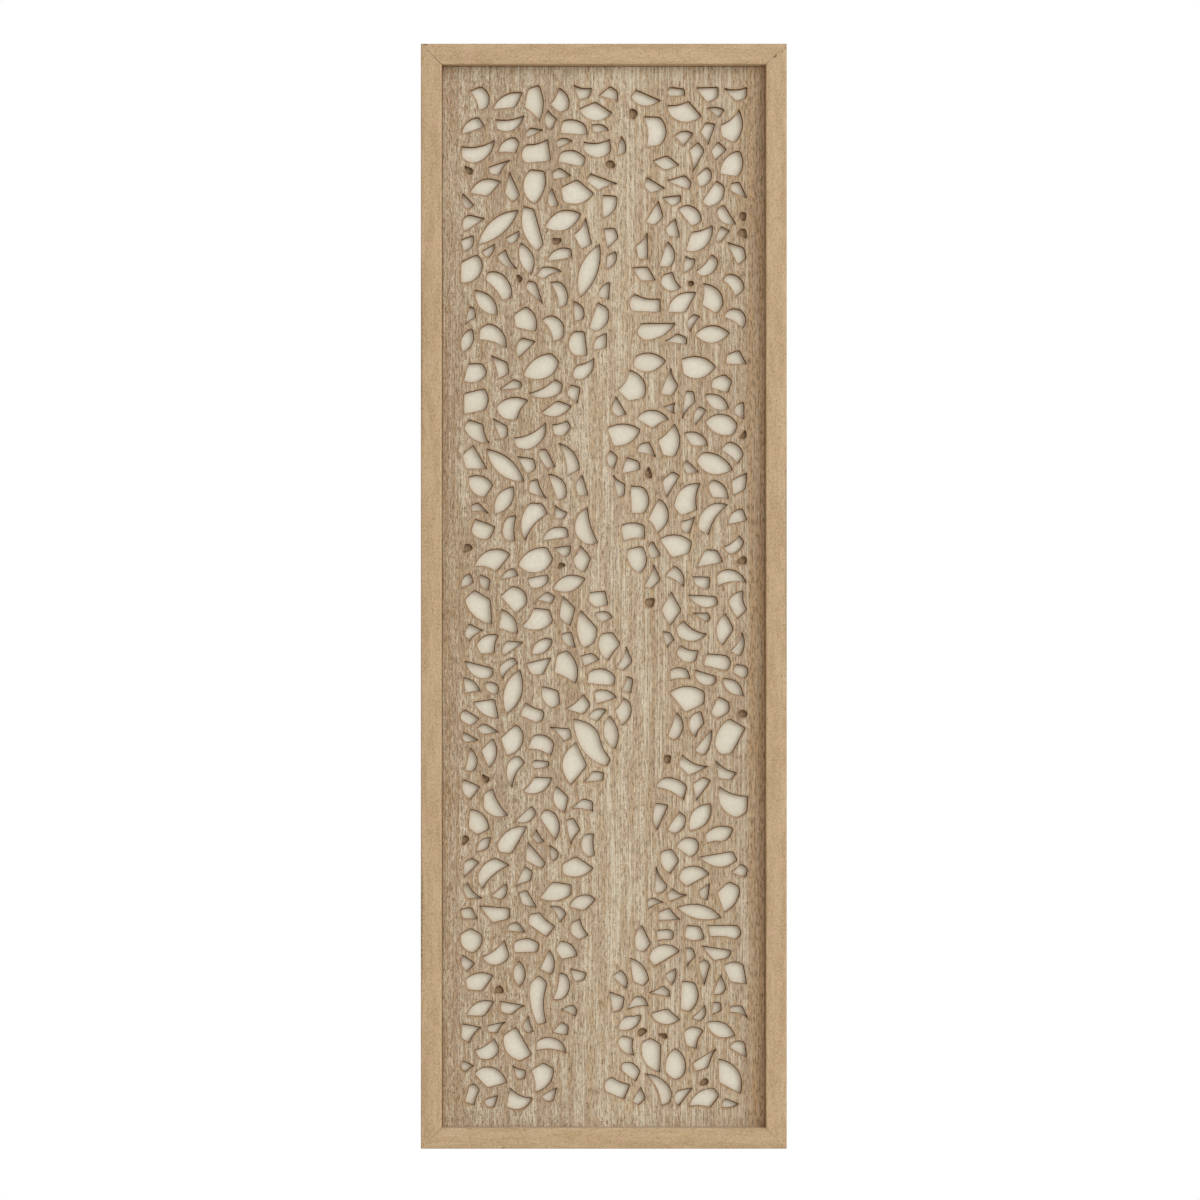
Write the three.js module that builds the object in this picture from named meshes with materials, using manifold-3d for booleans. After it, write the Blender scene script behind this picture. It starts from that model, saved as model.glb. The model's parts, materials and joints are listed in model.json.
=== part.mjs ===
import * as THREE from 'three';
import { mergeVertices } from 'three/addons/utils/BufferGeometryUtils.js';
import Module from 'manifold-3d';

// Laser-cut wall panel: a veneered board cut through with leaf-like openings around a bare
// tree trunk, set deep in a mitred box frame, with a cream board behind it.
// Millimetres: X across, Y from the front to the wall, Z up. The origin is the middle of the
// hanger's wall side, near the top edge.

const wasm = await Module();
wasm.setup();

// Frame
const panelWidth = 300;
const panelHeight = 906;
const frameDepth = 30;
const railWidth = 17;
const rebateWidth = 7;
const recessDepth = 10;
const arrisRadius = 1.2;
const mitreGap = 0.3;

// Boards in the frame's rebate
const fretworkThickness = 3.2;
const backingThickness = 3;
const restGap = 0.3;
const edgeGap = 0.5;

// Openings
const plainMargin = 15;
const openingLength = 19.5;
const webWidth = 5;
const channelWidth = 7;
const trunkWidth = 40;
const layoutSeed = 8;

// Hanger and its nails
const hangerLength = 44;
const hangerHeight = 9;
const hangerSheet = 0.8;
const hangerRise = 2;
const hangerEnd = 7;
const hangerRamp = 2.5;
const toothPitch = 3;
const toothDepth = 1.8;
const nailLength = 9;
const nailRadius = 0.7;
const nailHeadRadius = 1.8;
const nailHeadHeight = 0.8;
const nailClearance = 0.25;

// What follows from them
const innerWidth = panelWidth - 2 * railWidth;
const innerHeight = panelHeight - 2 * railWidth;
const fieldWidth = innerWidth - 2 * plainMargin;
const fieldHeight = innerHeight - 2 * plainMargin;
const boardWidth = innerWidth + 2 * (rebateWidth - edgeGap);
const boardHeight = innerHeight + 2 * (rebateWidth - edgeGap);
const landWidth = railWidth - rebateWidth;
const nailSpacing = hangerLength - hangerEnd;
const frameBackY = -(hangerRise + hangerSheet + restGap);
const frameFrontY = frameBackY - frameDepth;
const panelCentreZ = landWidth / 2 - panelHeight / 2;
const fretworkBackY = frameFrontY + recessDepth + restGap + fretworkThickness;
const backingBackY = fretworkBackY + restGap + backingThickness;

// The bare trunk, from the foot up: place across (-1 to 1) and up (0 to 1) in the field of
// openings, and half its width as a share of trunkWidth.
const trunkStations = [
  [-0.22, -0.02, 0.42], [-0.1, 0.06, 0.46], [-0.05, 0.12, 0.26], [0.06, 0.165, 0.38],
  [0.14, 0.22, 0.56], [0.15, 0.3, 0.58], [0.3, 0.36, 0.4], [0.32, 0.44, 0.37],
  [0.13, 0.5, 0.32], [0.05, 0.56, 0.22], [-0.06, 0.63, 0.27], [-0.08, 0.68, 0.34],
  [0.05, 0.72, 0.22], [0.13, 0.8, 0.17], [0.17, 0.88, 0.2], [0.22, 0.93, 0.22],
  [0.16, 0.965, 0.08],
];

// The crowns of foliage: where the stem starts, the middle, and half the width and height,
// across and up as above.
const crownShapes = [
  { stem: [-0.18, 0.715], middle: [-0.48, 0.865], half: [0.62, 0.15] },
  { stem: [-0.04, 0.545], middle: [-0.6, 0.645], half: [0.55, 0.105] },
  { stem: [0.24, 0.76], middle: [0.6, 0.89], half: [0.48, 0.12] },
  { stem: [0.34, 0.5], middle: [0.6, 0.645], half: [0.48, 0.14] },
  { stem: [0.06, 0.33], middle: [-0.48, 0.45], half: [0.6, 0.125] },
  { stem: [0.37, 0.25], middle: [0.71, 0.4], half: [0.37, 0.14] },
  { stem: [-0.11, 0.16], middle: [-0.56, 0.24], half: [0.52, 0.09] },
  { stem: [-0.48, 0.01], middle: [-0.6, 0.09], half: [0.48, 0.09] },
  { stem: [0.45, 0], middle: [0.56, 0.125], half: [0.52, 0.125] },
];

// Kinds of opening, the largest first: half its length as a share of openingLength, how many
// times longer than wide, how many places are tried and how many openings are made at most.
const openingKinds = [
  { half: [0.85, 1.15], slender: [2.6, 3.2], tries: 120, most: 8 },
  { half: [0.58, 0.7], slender: [1.4, 2.1], tries: 900, most: 40 },
  { half: [0.48, 0.58], slender: [1.25, 2.1], tries: 2500, most: 110 },
  { half: [0.38, 0.48], slender: [1.2, 2], tries: 5000, most: 300 },
  { half: [0.29, 0.37], slender: [1.15, 1.8], tries: 9000, most: 300 },
  { half: [0.18, 0.25], slender: [1.1, 1.5], tries: 6000, most: 24 },
];

// How far short of the field's edge the openings along it stop, as a share of openingLength:
// each a little differently, so that no two have corners on one line.
const edgeInset = [0, 0.06];

const random = randomSource(layoutSeed);

function randomSource(seed) {
  let state = seed;
  return () => {
    state = (state + 0x6d2b79f5) >>> 0;
    let mixed = Math.imul(state ^ (state >>> 15), state | 1);
    mixed ^= mixed + Math.imul(mixed ^ (mixed >>> 7), mixed | 61);
    return ((mixed ^ (mixed >>> 14)) >>> 0) / 4294967296;
  };
}

function between([low, high]) {
  return low + (high - low) * random();
}

function fieldPoint([across, up]) {
  return new THREE.Vector2(across * fieldWidth / 2, (up - 0.5) * fieldHeight);
}

// Discs along the trunk that no opening enters.
function trunkDiscs() {
  const stations = trunkStations.map(([across, up, half]) => {
    const place = fieldPoint([across, up]);
    return new THREE.Vector3(place.x, place.y, half * trunkWidth);
  });
  const count = Math.ceil(fieldHeight / (0.4 * openingLength));
  return new THREE.CatmullRomCurve3(stations).getSpacedPoints(count).map((point) => (
    { middle: new THREE.Vector2(point.x, point.y), radius: point.z }
  ));
}

function crownsInField() {
  return crownShapes.map(({ stem, middle, half }) => ({
    stem: fieldPoint(stem),
    middle: fieldPoint(middle),
    half: new THREE.Vector2(half[0] * fieldWidth / 2, half[1] * fieldHeight),
  }));
}

function nearestCrown(crowns, place) {
  const distances = crowns.map(({ middle, half }) => (
    place.clone().sub(middle).divide(half).length()
  ));
  return distances.indexOf(Math.min(...distances));
}

// Openings lie along the lines from their stem, and across them in patches, more of these
// far from the stem.
function openingAngle(crown, index, place) {
  const away = place.clone().sub(crown.stem);
  const far = away.length() / (2 * crown.half.y);
  const x = place.x / openingLength;
  const y = place.y / openingLength;
  const wave = Math.sin(1.2 * x + 0.5 * y + index) * Math.sin(0.9 * y - 0.7 * x + 2 * index);
  const across = 0.5 + 0.5 * wave < 0.25 + 0.45 * far;
  return away.angle() + between([-0.25, 0.25]) + (across ? Math.PI / 2 : 0);
}

// Distance from an opening's middle to the rim of its ellipse, towards a direction.
function rimDistance(site, direction) {
  const turned = direction.clone().normalize().rotateAround(new THREE.Vector2(), -site.angle);
  return 1 / Math.hypot(turned.x / site.long, turned.y / site.short);
}

// The way that the ellipse's rim faces there.
function rimNormal(site, direction) {
  const turned = direction.clone().rotateAround(new THREE.Vector2(), -site.angle);
  turned.set(turned.x / site.long ** 2, turned.y / site.short ** 2);
  return turned.rotateAround(new THREE.Vector2(), site.angle).normalize();
}

function webBetween(site, other) {
  return site.crown === other.crown ? webWidth : channelWidth;
}

function staysInField({ place, long, short, angle }) {
  const reachX = Math.hypot(long * Math.cos(angle), short * Math.sin(angle));
  const reachY = Math.hypot(long * Math.sin(angle), short * Math.cos(angle));
  return Math.abs(place.x) + 0.9 * reachX < fieldWidth / 2
    && Math.abs(place.y) + 0.9 * reachY < fieldHeight / 2;
}

function clearOfTrunk(site, discs) {
  return discs.every(({ middle, radius }) => {
    const way = middle.clone().sub(site.place);
    return way.length() > radius + 0.9 * rimDistance(site, way);
  });
}

function clearOfOthers(site, sites) {
  return sites.every((other) => {
    const way = other.place.clone().sub(site.place);
    const most = site.long + other.long + channelWidth;
    if (way.length() > most) {
      return true;
    }
    const rims = rimDistance(site, way) + rimDistance(other, way);
    return way.length() > 0.95 * rims + webBetween(site, other);
  });
}

// Places for the openings: ellipses tried at random, the large kinds first, and kept where
// there is room between the trunk, the edge of the field and those already there.
function openingSites(discs) {
  const crowns = crownsInField();
  const sites = [];
  for (const { half, slender, tries, most } of openingKinds) {
    let made = 0;
    for (let tried = 0; tried < tries && made < most; tried += 1) {
      const place = fieldPoint([between([-1, 1]), random()]);
      const long = between(half) * openingLength;
      const short = long / between(slender);
      const crown = nearestCrown(crowns, place);
      const angle = openingAngle(crowns[crown], crown, place);
      const site = { place, long, short, angle, crown };
      if (staysInField(site) && clearOfTrunk(site, discs) && clearOfOthers(site, sites)) {
        sites.push(site);
        made += 1;
      }
    }
  }
  return sites;
}

// What is left of a convex outline behind a line through a point, which faces normal.
function cutBack(outline, point, normal) {
  const kept = [];
  outline.forEach((corner, index) => {
    const next = outline[(index + 1) % outline.length];
    const here = corner.clone().sub(point).dot(normal);
    const there = next.clone().sub(point).dot(normal);
    if (here <= 0) {
      kept.push(corner);
    }
    if (here * there < 0) {
      kept.push(corner.clone().lerp(next, here / (here - there)));
    }
  });
  return kept;
}

// The room of one opening: convex, half a web short of the line to each neighbour, behind the
// field's edge and the trunk, and not much larger than its ellipse.
function roomOf(site, sites, discs) {
  const inset = between(edgeInset) * openingLength;
  const x = fieldWidth / 2 - inset;
  const y = fieldHeight / 2 - inset;
  let room = [[-x, -y], [x, -y], [x, y], [-x, y]].map((corner) => new THREE.Vector2(...corner));
  const sides = 8;
  for (let side = 0; side < sides; side += 1) {
    const turn = 2 * Math.PI * (side + 0.5) / sides;
    const way = new THREE.Vector2(site.long * Math.cos(turn), site.short * Math.sin(turn));
    way.rotateAround(new THREE.Vector2(), site.angle);
    room = cutBack(room, site.place.clone().addScaledVector(way, 1.22), rimNormal(site, way));
  }
  for (const other of sites) {
    const way = other.place.clone().sub(site.place);
    if (other !== site && way.length() < 2 * (site.long + other.long) + channelWidth) {
      const share = rimDistance(site, way) / (rimDistance(site, way) + rimDistance(other, way));
      const normal = rimNormal(site, way).add(rimNormal(other, way)).normalize();
      const point = site.place.clone().addScaledVector(way, share);
      point.addScaledVector(normal, -webBetween(site, other) / 2);
      room = cutBack(room, point, normal);
    }
  }
  for (const { middle, radius } of discs) {
    const way = middle.clone().sub(site.place).normalize();
    room = cutBack(room, middle.clone().addScaledVector(way, -radius), way);
  }
  const least = 0.01 * openingLength;
  return room.filter((corner, index) => (
    corner.distanceTo(room[(index + 1) % room.length]) > least
  ));
}

// The corners, in order, that keep the most of the room: for two, the farthest apart.
function chosenCorners(room, count) {
  let best = room.map((_, index) => index);
  let most = -1;
  const choose = (picked, first) => {
    if (picked.length === count) {
      const corners = picked.map((index) => room[index]);
      const worth = count === 2
        ? corners[0].distanceTo(corners[1])
        : Math.abs(THREE.ShapeUtils.area(corners));
      if (worth > most) {
        best = picked;
        most = worth;
      }
      return;
    }
    for (let index = first; index < room.length; index += 1) {
      choose([...picked, index], index + 1);
    }
  };
  if (room.length > count) {
    choose([], 0);
  }
  return best;
}

// One side of an opening, between two chosen corners: its chord and how far the room reaches
// beyond it.
function sideOf(room, from, to) {
  const start = room[from];
  const end = room[to];
  const chord = start.distanceTo(end);
  const out = new THREE.Vector2(end.y - start.y, start.x - end.x).divideScalar(chord);
  const middle = start.clone().lerp(end, 0.5);
  let height = 0;
  let far = middle;
  for (let index = (from + 1) % room.length; index !== to; index = (index + 1) % room.length) {
    const rise = room[index].clone().sub(middle).dot(out);
    if (rise > height) {
      height = rise;
      far = room[index];
    }
  }
  return { start, middle, out, chord, height, far };
}

function cornerCount(site) {
  const slender = site.long / site.short;
  const pick = random();
  if (slender > 2.6) {
    return pick < 0.6 ? 2 : 4;
  }
  if (pick < 0.2) {
    return slender > 1.6 ? 2 : 3;
  }
  return pick < 0.84 ? 3 : 4;
}

// The outline between some corners of the room. Its sides are straight, bowed out as far as
// the room lets them, or, where that is wanted, one is drawn in.
function outlineBetween(room, corners, drawnIn) {
  const sides = corners.map((corner, index) => (
    sideOf(room, corner, corners[(index + 1) % corners.length])
  ));
  const flattest = sides.reduce((best, side) => (
    side.height / side.chord < best.height / best.chord ? side : best
  ));
  const roundest = sides.reduce((best, side) => (side.height > best.height ? side : best));
  const outline = [];
  for (const side of sides) {
    outline.push(side.start);
    if (side === flattest && drawnIn) {
      const depth = between([0.06, 0.12]) * flattest.chord;
      outline.push(side.middle.clone().addScaledVector(side.out, -depth));
    } else if (side.height > (side === roundest ? 0.09 : 0.2) * openingLength) {
      const bulge = side.middle.clone().addScaledVector(side.out, side.height);
      bulge.lerp(side.far, between([0.4, 0.75]));
      outline.push(side.middle.clone().lerp(bulge, between([0.75, 0.97])));
    }
  }
  return outline;
}

// The outline of one opening: two to four sharp corners, and more of them, with no side drawn
// in, where it would leave about half of its room unused.
function openingOutline(site, room) {
  const enough = 0.52 * THREE.ShapeUtils.area(room);
  let count = cornerCount(site);
  let outline = outlineBetween(room, chosenCorners(room, count), random() < 0.55);
  while (count <= 4 && THREE.ShapeUtils.area(outline) < enough) {
    outline = outlineBetween(room, chosenCorners(room, count), false);
    count += 1;
  }
  return outline;
}

function allOpenings() {
  const discs = trunkDiscs();
  const sites = openingSites(discs);
  const outlines = [];
  for (const site of sites) {
    const room = roomOf(site, sites, discs);
    const smallest = 0.045 * openingLength ** 2;
    if (room.length > 2 && Math.abs(THREE.ShapeUtils.area(room)) > smallest) {
      outlines.push(openingOutline(site, room));
    }
  }
  return outlines;
}

function rectangle(width, height) {
  const shape = new THREE.Shape();
  shape.moveTo(-width / 2, -height / 2);
  shape.lineTo(width / 2, -height / 2);
  shape.lineTo(width / 2, height / 2);
  shape.lineTo(-width / 2, height / 2);
  shape.closePath();
  return shape;
}

// An outline drawn across and up, made thick towards the front.
function uprightSheet(shape, thickness) {
  const geometry = new THREE.ExtrudeGeometry(shape, { depth: thickness, bevelEnabled: false });
  return geometry.rotateX(Math.PI / 2);
}

function fretworkGeometry() {
  const shape = rectangle(boardWidth, boardHeight);
  shape.holes = allOpenings().map((outline) => new THREE.Path(outline));
  return uprightSheet(shape, fretworkThickness);
}

// Section of a rail: across from the outer edge, and from the front to the back. The front
// edges are rounded and the rebate is open to the inside and the back.
function railSection() {
  const round = arrisRadius;
  const section = new THREE.Shape();
  section.moveTo(0, frameDepth);
  section.lineTo(0, round);
  section.absarc(round, round, round, Math.PI, 1.5 * Math.PI, false);
  section.lineTo(railWidth - round, 0);
  section.absarc(railWidth - round, round, round, 1.5 * Math.PI, 2 * Math.PI, false);
  section.lineTo(railWidth, recessDepth);
  section.lineTo(landWidth, recessDepth);
  section.lineTo(landWidth, frameDepth);
  section.closePath();
  return section;
}

// A rail along Z, centred, with both ends cut to the mitre.
function railGeometry(length) {
  const options = { depth: length, bevelEnabled: false, curveSegments: 3 };
  const geometry = new THREE.ExtrudeGeometry(railSection(), options);
  const setBack = mitreGap / Math.SQRT2;
  const points = geometry.getAttribute('position');
  for (let index = 0; index < points.count; index += 1) {
    const end = points.getZ(index) > length / 2 ? 1 : -1;
    points.setZ(index, end * (length / 2 - points.getX(index) - setBack));
  }
  return geometry;
}

function asSolid(geometry) {
  const bare = geometry.clone();
  bare.deleteAttribute('normal');
  bare.deleteAttribute('uv');
  const joined = mergeVertices(bare, 1e-4);
  return new wasm.Manifold(new wasm.Mesh({
    numProp: 3,
    vertProperties: new Float32Array(joined.getAttribute('position').array),
    triVerts: new Uint32Array(joined.getIndex().array),
  }));
}

function asGeometry(solid) {
  const mesh = solid.getMesh();
  const geometry = new THREE.BufferGeometry();
  geometry.setAttribute('position', new THREE.BufferAttribute(mesh.vertProperties, 3));
  geometry.setIndex(new THREE.BufferAttribute(mesh.triVerts, 1));
  return geometry;
}

function without(geometry, cutters) {
  return asGeometry(cutters.reduce(
    (solid, cutter) => solid.subtract(asSolid(cutter)),
    asSolid(geometry),
  ));
}

function nailHole(depth) {
  const radius = nailRadius + nailClearance;
  return new THREE.CylinderGeometry(radius, radius, depth, 10);
}

// The top rail, with the holes that the hanger's nails are driven into.
function topRailGeometry() {
  const depth = nailLength + restGap;
  const holes = [-1, 1].map((side) => (
    nailHole(2 * depth).translate(landWidth / 2, frameDepth, side * nailSpacing / 2)
  ));
  return without(railGeometry(panelWidth), holes);
}

// The hanger's sheet, seen along Z: flat ends on the rail and a raised middle.
function hangerProfile() {
  const half = hangerLength / 2;
  const foot = half - hangerEnd;
  const top = foot - hangerRamp;
  const lean = Math.atan2(hangerRise, hangerRamp);
  const shift = hangerSheet * Math.tan(lean / 2);
  const wallSide = [[half, -hangerRise], [foot, -hangerRise], [top, 0]];
  const railSide = [[top - shift, -hangerSheet], [foot - shift, -hangerRise - hangerSheet],
    [half, -hangerRise - hangerSheet]];
  const mirrored = (points) => points.map(([x, y]) => [-x, y]).reverse();
  const outline = [...wallSide, ...mirrored(wallSide), ...mirrored(railSide), ...railSide];
  return new THREE.Shape(outline.map(([x, y]) => new THREE.Vector2(x, y)));
}

function hangerGeometry() {
  const options = { depth: hangerHeight, bevelEnabled: false };
  const plate = new THREE.ExtrudeGeometry(hangerProfile(), options);
  plate.translate(0, 0, -hangerHeight / 2);
  const room = hangerLength - 2 * (hangerEnd + hangerRamp) - 2 * hangerSheet;
  const count = Math.max(1, Math.floor(room / toothPitch));
  const cutters = [];
  for (let tooth = 0; tooth < count; tooth += 1) {
    const notch = new THREE.Shape([
      new THREE.Vector2(-0.4 * toothPitch, -toothDepth),
      new THREE.Vector2(0.4 * toothPitch, -toothDepth),
      new THREE.Vector2(0, toothDepth),
    ]);
    const x = (tooth - (count - 1) / 2) * toothPitch;
    const cutter = uprightSheet(notch, 3 * hangerSheet);
    cutters.push(cutter.translate(x, hangerSheet, -hangerHeight / 2));
  }
  for (const side of [-1, 1]) {
    const hole = nailHole(4 * hangerSheet);
    cutters.push(hole.translate(side * nailSpacing / 2, -hangerRise - hangerSheet / 2, 0));
  }
  return without(plate, cutters);
}

// A nail with a low round head; its shank points to the front.
function nailGeometry() {
  const profile = [
    [0, -nailLength], [nailRadius, -nailLength + 2 * nailRadius], [nailRadius, 0],
    [nailHeadRadius, 0], [0.75 * nailHeadRadius, 0.7 * nailHeadHeight], [0, nailHeadHeight],
  ];
  return new THREE.LatheGeometry(profile.map(([x, y]) => new THREE.Vector2(x, y)), 8);
}

function finish(color, roughness, metalness) {
  return new THREE.MeshStandardMaterial({ color, roughness, metalness });
}

function piece(name, geometry, material, position) {
  const mesh = new THREE.Mesh(geometry, material);
  mesh.name = name;
  mesh.position.set(...position);
  return mesh;
}

const railWood = finish('#c4aa85', 0.55, 0);
const washedVeneer = finish('#b5a088', 0.75, 0);
const creamPaint = finish('#e1dac8', 0.85, 0);
const zincSteel = finish('#a9abad', 0.4, 1);

// The frame's rails, turned about the middle of its front face.
const frame = new THREE.Group();
frame.position.set(0, frameFrontY, panelCentreZ);
const rails = [
  ['frame_rail_left', railGeometry(panelHeight), [-panelWidth / 2, 0, 0], 0],
  ['frame_rail_top', topRailGeometry(), [0, 0, panelHeight / 2], Math.PI / 2],
  ['frame_rail_right', railGeometry(panelHeight), [panelWidth / 2, 0, 0], Math.PI],
  ['frame_rail_bottom', railGeometry(panelWidth), [0, 0, -panelHeight / 2], -Math.PI / 2],
];
for (const [name, geometry, position, turn] of rails) {
  const rail = piece(name, geometry, railWood, position);
  rail.rotation.y = turn;
  frame.add(rail);
}

const backing = uprightSheet(rectangle(boardWidth, boardHeight), backingThickness);
const nailSeatY = restGap - hangerRise;

const panel = new THREE.Group();
panel.add(frame);
panel.add(piece('fretwork_panel', fretworkGeometry(), washedVeneer,
  [0, fretworkBackY, panelCentreZ]));
panel.add(piece('backing_board', backing, creamPaint, [0, backingBackY, panelCentreZ]));
panel.add(piece('hanger_plate', hangerGeometry(), zincSteel, [0, 0, 0]));
panel.add(piece('hanger_nail_left', nailGeometry(), zincSteel,
  [-nailSpacing / 2, nailSeatY, 0]));
panel.add(piece('hanger_nail_right', nailGeometry(), zincSteel,
  [nailSpacing / 2, nailSeatY, 0]));

export default panel;
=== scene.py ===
# %% [markdown]
# # A laser-cut wall panel
# A tall, narrow picture-like panel: a limewashed wood board, sawn through by a laser with
# hundreds of leaf-like openings, lies deep in a mitred frame, and a cream board shows behind
# it. The CAD model gives every piece its size and place. This lesson gives each one the soft
# edges, the grain and the paint of the real thing.
#
# First the CAD model is loaded. Its boxes are the sizes that everything below keeps to.

# %% Load the measured model
import json
import math

import bmesh
import bpy
import numpy as np
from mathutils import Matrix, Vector

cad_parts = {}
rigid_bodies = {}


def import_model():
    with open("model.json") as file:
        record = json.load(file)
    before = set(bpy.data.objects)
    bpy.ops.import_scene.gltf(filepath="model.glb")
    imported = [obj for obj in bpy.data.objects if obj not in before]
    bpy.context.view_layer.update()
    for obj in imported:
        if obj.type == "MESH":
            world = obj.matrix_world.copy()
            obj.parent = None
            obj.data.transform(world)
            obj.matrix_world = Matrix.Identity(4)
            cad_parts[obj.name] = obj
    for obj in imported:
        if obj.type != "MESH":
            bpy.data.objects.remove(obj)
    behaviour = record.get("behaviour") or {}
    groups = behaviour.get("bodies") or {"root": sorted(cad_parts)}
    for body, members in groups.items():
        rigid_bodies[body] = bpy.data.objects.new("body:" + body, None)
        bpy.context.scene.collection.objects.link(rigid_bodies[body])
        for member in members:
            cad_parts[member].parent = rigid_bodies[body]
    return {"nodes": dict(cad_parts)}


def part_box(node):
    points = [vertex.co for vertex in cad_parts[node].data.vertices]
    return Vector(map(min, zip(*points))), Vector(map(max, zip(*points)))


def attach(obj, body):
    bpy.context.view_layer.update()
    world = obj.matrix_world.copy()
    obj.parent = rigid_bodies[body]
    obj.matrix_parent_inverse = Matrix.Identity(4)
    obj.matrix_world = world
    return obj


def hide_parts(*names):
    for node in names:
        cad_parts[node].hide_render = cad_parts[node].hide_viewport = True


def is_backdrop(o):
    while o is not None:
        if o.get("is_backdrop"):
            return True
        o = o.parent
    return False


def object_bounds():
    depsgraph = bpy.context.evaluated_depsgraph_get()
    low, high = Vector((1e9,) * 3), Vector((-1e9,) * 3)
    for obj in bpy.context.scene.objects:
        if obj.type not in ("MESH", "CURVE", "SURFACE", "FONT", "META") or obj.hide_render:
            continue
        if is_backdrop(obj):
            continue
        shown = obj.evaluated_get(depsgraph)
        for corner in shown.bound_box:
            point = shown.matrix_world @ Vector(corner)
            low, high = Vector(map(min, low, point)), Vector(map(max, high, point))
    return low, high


for leftover in list(bpy.data.objects):
    bpy.data.objects.remove(leftover)
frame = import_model()
cad_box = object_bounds()
print("the whole panel, in metres:", [round(v, 4) for v in cad_box[1] - cad_box[0]])

# %% [markdown]
# ## Sizes read from the model
# A maker measures before cutting. The frame's outline comes from the outermost rails, the
# board's faces from its own box. Small sizes that CAD leaves out, such as how far a sanded
# edge is rounded, are named here in metres.

# %% Measure the pieces
MM = 0.001
left_low, left_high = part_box("frame_rail_left")
board_low, board_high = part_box("fretwork_panel")
backing_low, backing_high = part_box("backing_board")

frame_width = -2 * left_low.x
frame_height = cad_box[1].z - cad_box[0].z
frame_middle = Vector((0, 0, (cad_box[1].z + cad_box[0].z) / 2))
front_y = left_low.y
back_y = left_high.y
rail_width = left_high.x - left_low.x
rail_depth = back_y - front_y
recess_depth = board_low.y - front_y - 0.3 * MM
rebate_width = board_high.x + 0.5 * MM - (frame_width / 2 - rail_width)
board_thickness = board_high.y - board_low.y
sight_half = frame_width / 2 - rail_width  # from the middle to where the frame covers the board
sight_top = cad_box[1].z - rail_width
print("rail:", round(rail_width / MM, 2), "mm wide,", round(rail_depth / MM, 2), "mm deep")
print("recess:", round(recess_depth / MM, 2), "mm, rebate:", round(rebate_width / MM, 2), "mm")

# %% [markdown]
# ## The camera
# The picture is taken square on from a few metres away with a long lens, so that the sides
# of the frame hardly show. The distance is a guess; the lens follows from it, because the
# picture is a little under a metre wide where the front of the frame is.

# %% Set up the camera
view_width = 0.9835
camera_distance = 3.0
lens_data = bpy.data.cameras.new("camera")
lens_data.sensor_width = 36
lens_data.lens = 36 * camera_distance / view_width
camera = bpy.data.objects.new("camera", lens_data)
camera.location = (-0.0031, front_y - camera_distance, -0.4511)
camera.rotation_euler = (math.pi / 2, 0, 0)
bpy.context.scene.collection.objects.link(camera)
bpy.context.scene.camera = camera
print("lens:", round(lens_data.lens, 1), "mm at", camera_distance, "m")

# %% [markdown]
# ## The light
# One large soft light stands to the right of the camera and a little above it. It throws the
# right rail's shadow on the board and darkens the upper right side of each opening. The
# white room around fills the rest. Light and room are balanced so that a surface facing the
# camera gets about as much light as a white wall needs to look white. The room is a little
# warmer than the window, so that shadows are warm.

# %% Set up the light
key_data = bpy.data.lights.new("window_light", "AREA")
key_data.shape = "RECTANGLE"
key_data.size = 6.6
key_data.size_y = 6.6
key_data.energy = 436
key_data.color = (0.915, 0.955, 1.0)
key = bpy.data.objects.new("window_light", key_data)
key_way = Vector((1.05, -1.0, 0.5)).normalized()
key.location = frame_middle + 9.0 * key_way
key.rotation_euler = (-key_way).to_track_quat("-Z", "Y").to_euler()
bpy.context.scene.collection.objects.link(key)

room = bpy.data.worlds.new("white_room")
room.use_nodes = True
room_nodes = room.node_tree.nodes
room_links = room.node_tree.links
room_nodes.clear()
seen_room = room_nodes.new("ShaderNodeBackground")
seen_room.inputs["Color"].default_value = (1, 1, 1, 1)
seen_room.inputs["Strength"].default_value = 1.0
room_light = room_nodes.new("ShaderNodeBackground")
room_light.inputs["Color"].default_value = (1, 0.968, 0.905, 1)
room_light.inputs["Strength"].default_value = 0.68
ray = room_nodes.new("ShaderNodeLightPath")
room_mix = room_nodes.new("ShaderNodeMixShader")
room_out = room_nodes.new("ShaderNodeOutputWorld")
room_links.new(ray.outputs["Is Camera Ray"], room_mix.inputs["Fac"])
room_links.new(room_light.outputs["Background"], room_mix.inputs[1])
room_links.new(seen_room.outputs["Background"], room_mix.inputs[2])
room_links.new(room_mix.outputs["Shader"], room_out.inputs["Surface"])
bpy.context.scene.world = room
bpy.context.scene.view_settings.view_transform = "Standard"
bpy.context.scene.view_settings.look = "None"
print("light from", [round(v, 2) for v in key_way])

# %% [markdown]
# ## Helpers for node trees
# Materials and Geometry Nodes are both made of nodes and links, so one pair of helpers adds
# them. `put` gives a socket either a value or a link, whichever it is handed.

# %% Helpers for node trees
def put(tree, socket, value):
    """A link where value is another node's socket, and otherwise a plain value."""
    if isinstance(value, bpy.types.NodeSocket):
        tree.links.new(value, socket)
    elif value is not None:
        socket.default_value = value


def add(tree, kind, settings=None, **inputs):
    """A new node with its settings and inputs. An input's name has _ for each space."""
    node = tree.nodes.new(kind)
    for name, value in (settings or {}).items():
        setattr(node, name, value)
    for name, value in inputs.items():
        key = int(name[1:]) if name[0] == "i" and name[1:].isdigit() else name.replace("_", " ")
        put(tree, node.inputs[key], value)
    return node


def sum_of(tree, kind, first, second=0.0, third=None):
    """One step of arithmetic on two or three numbers or sockets."""
    node = add(tree, "ShaderNodeMath", {"operation": kind}, i0=first, i1=second)
    if third is not None:
        put(tree, node.inputs[2], third)
    return node.outputs[0]


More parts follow.
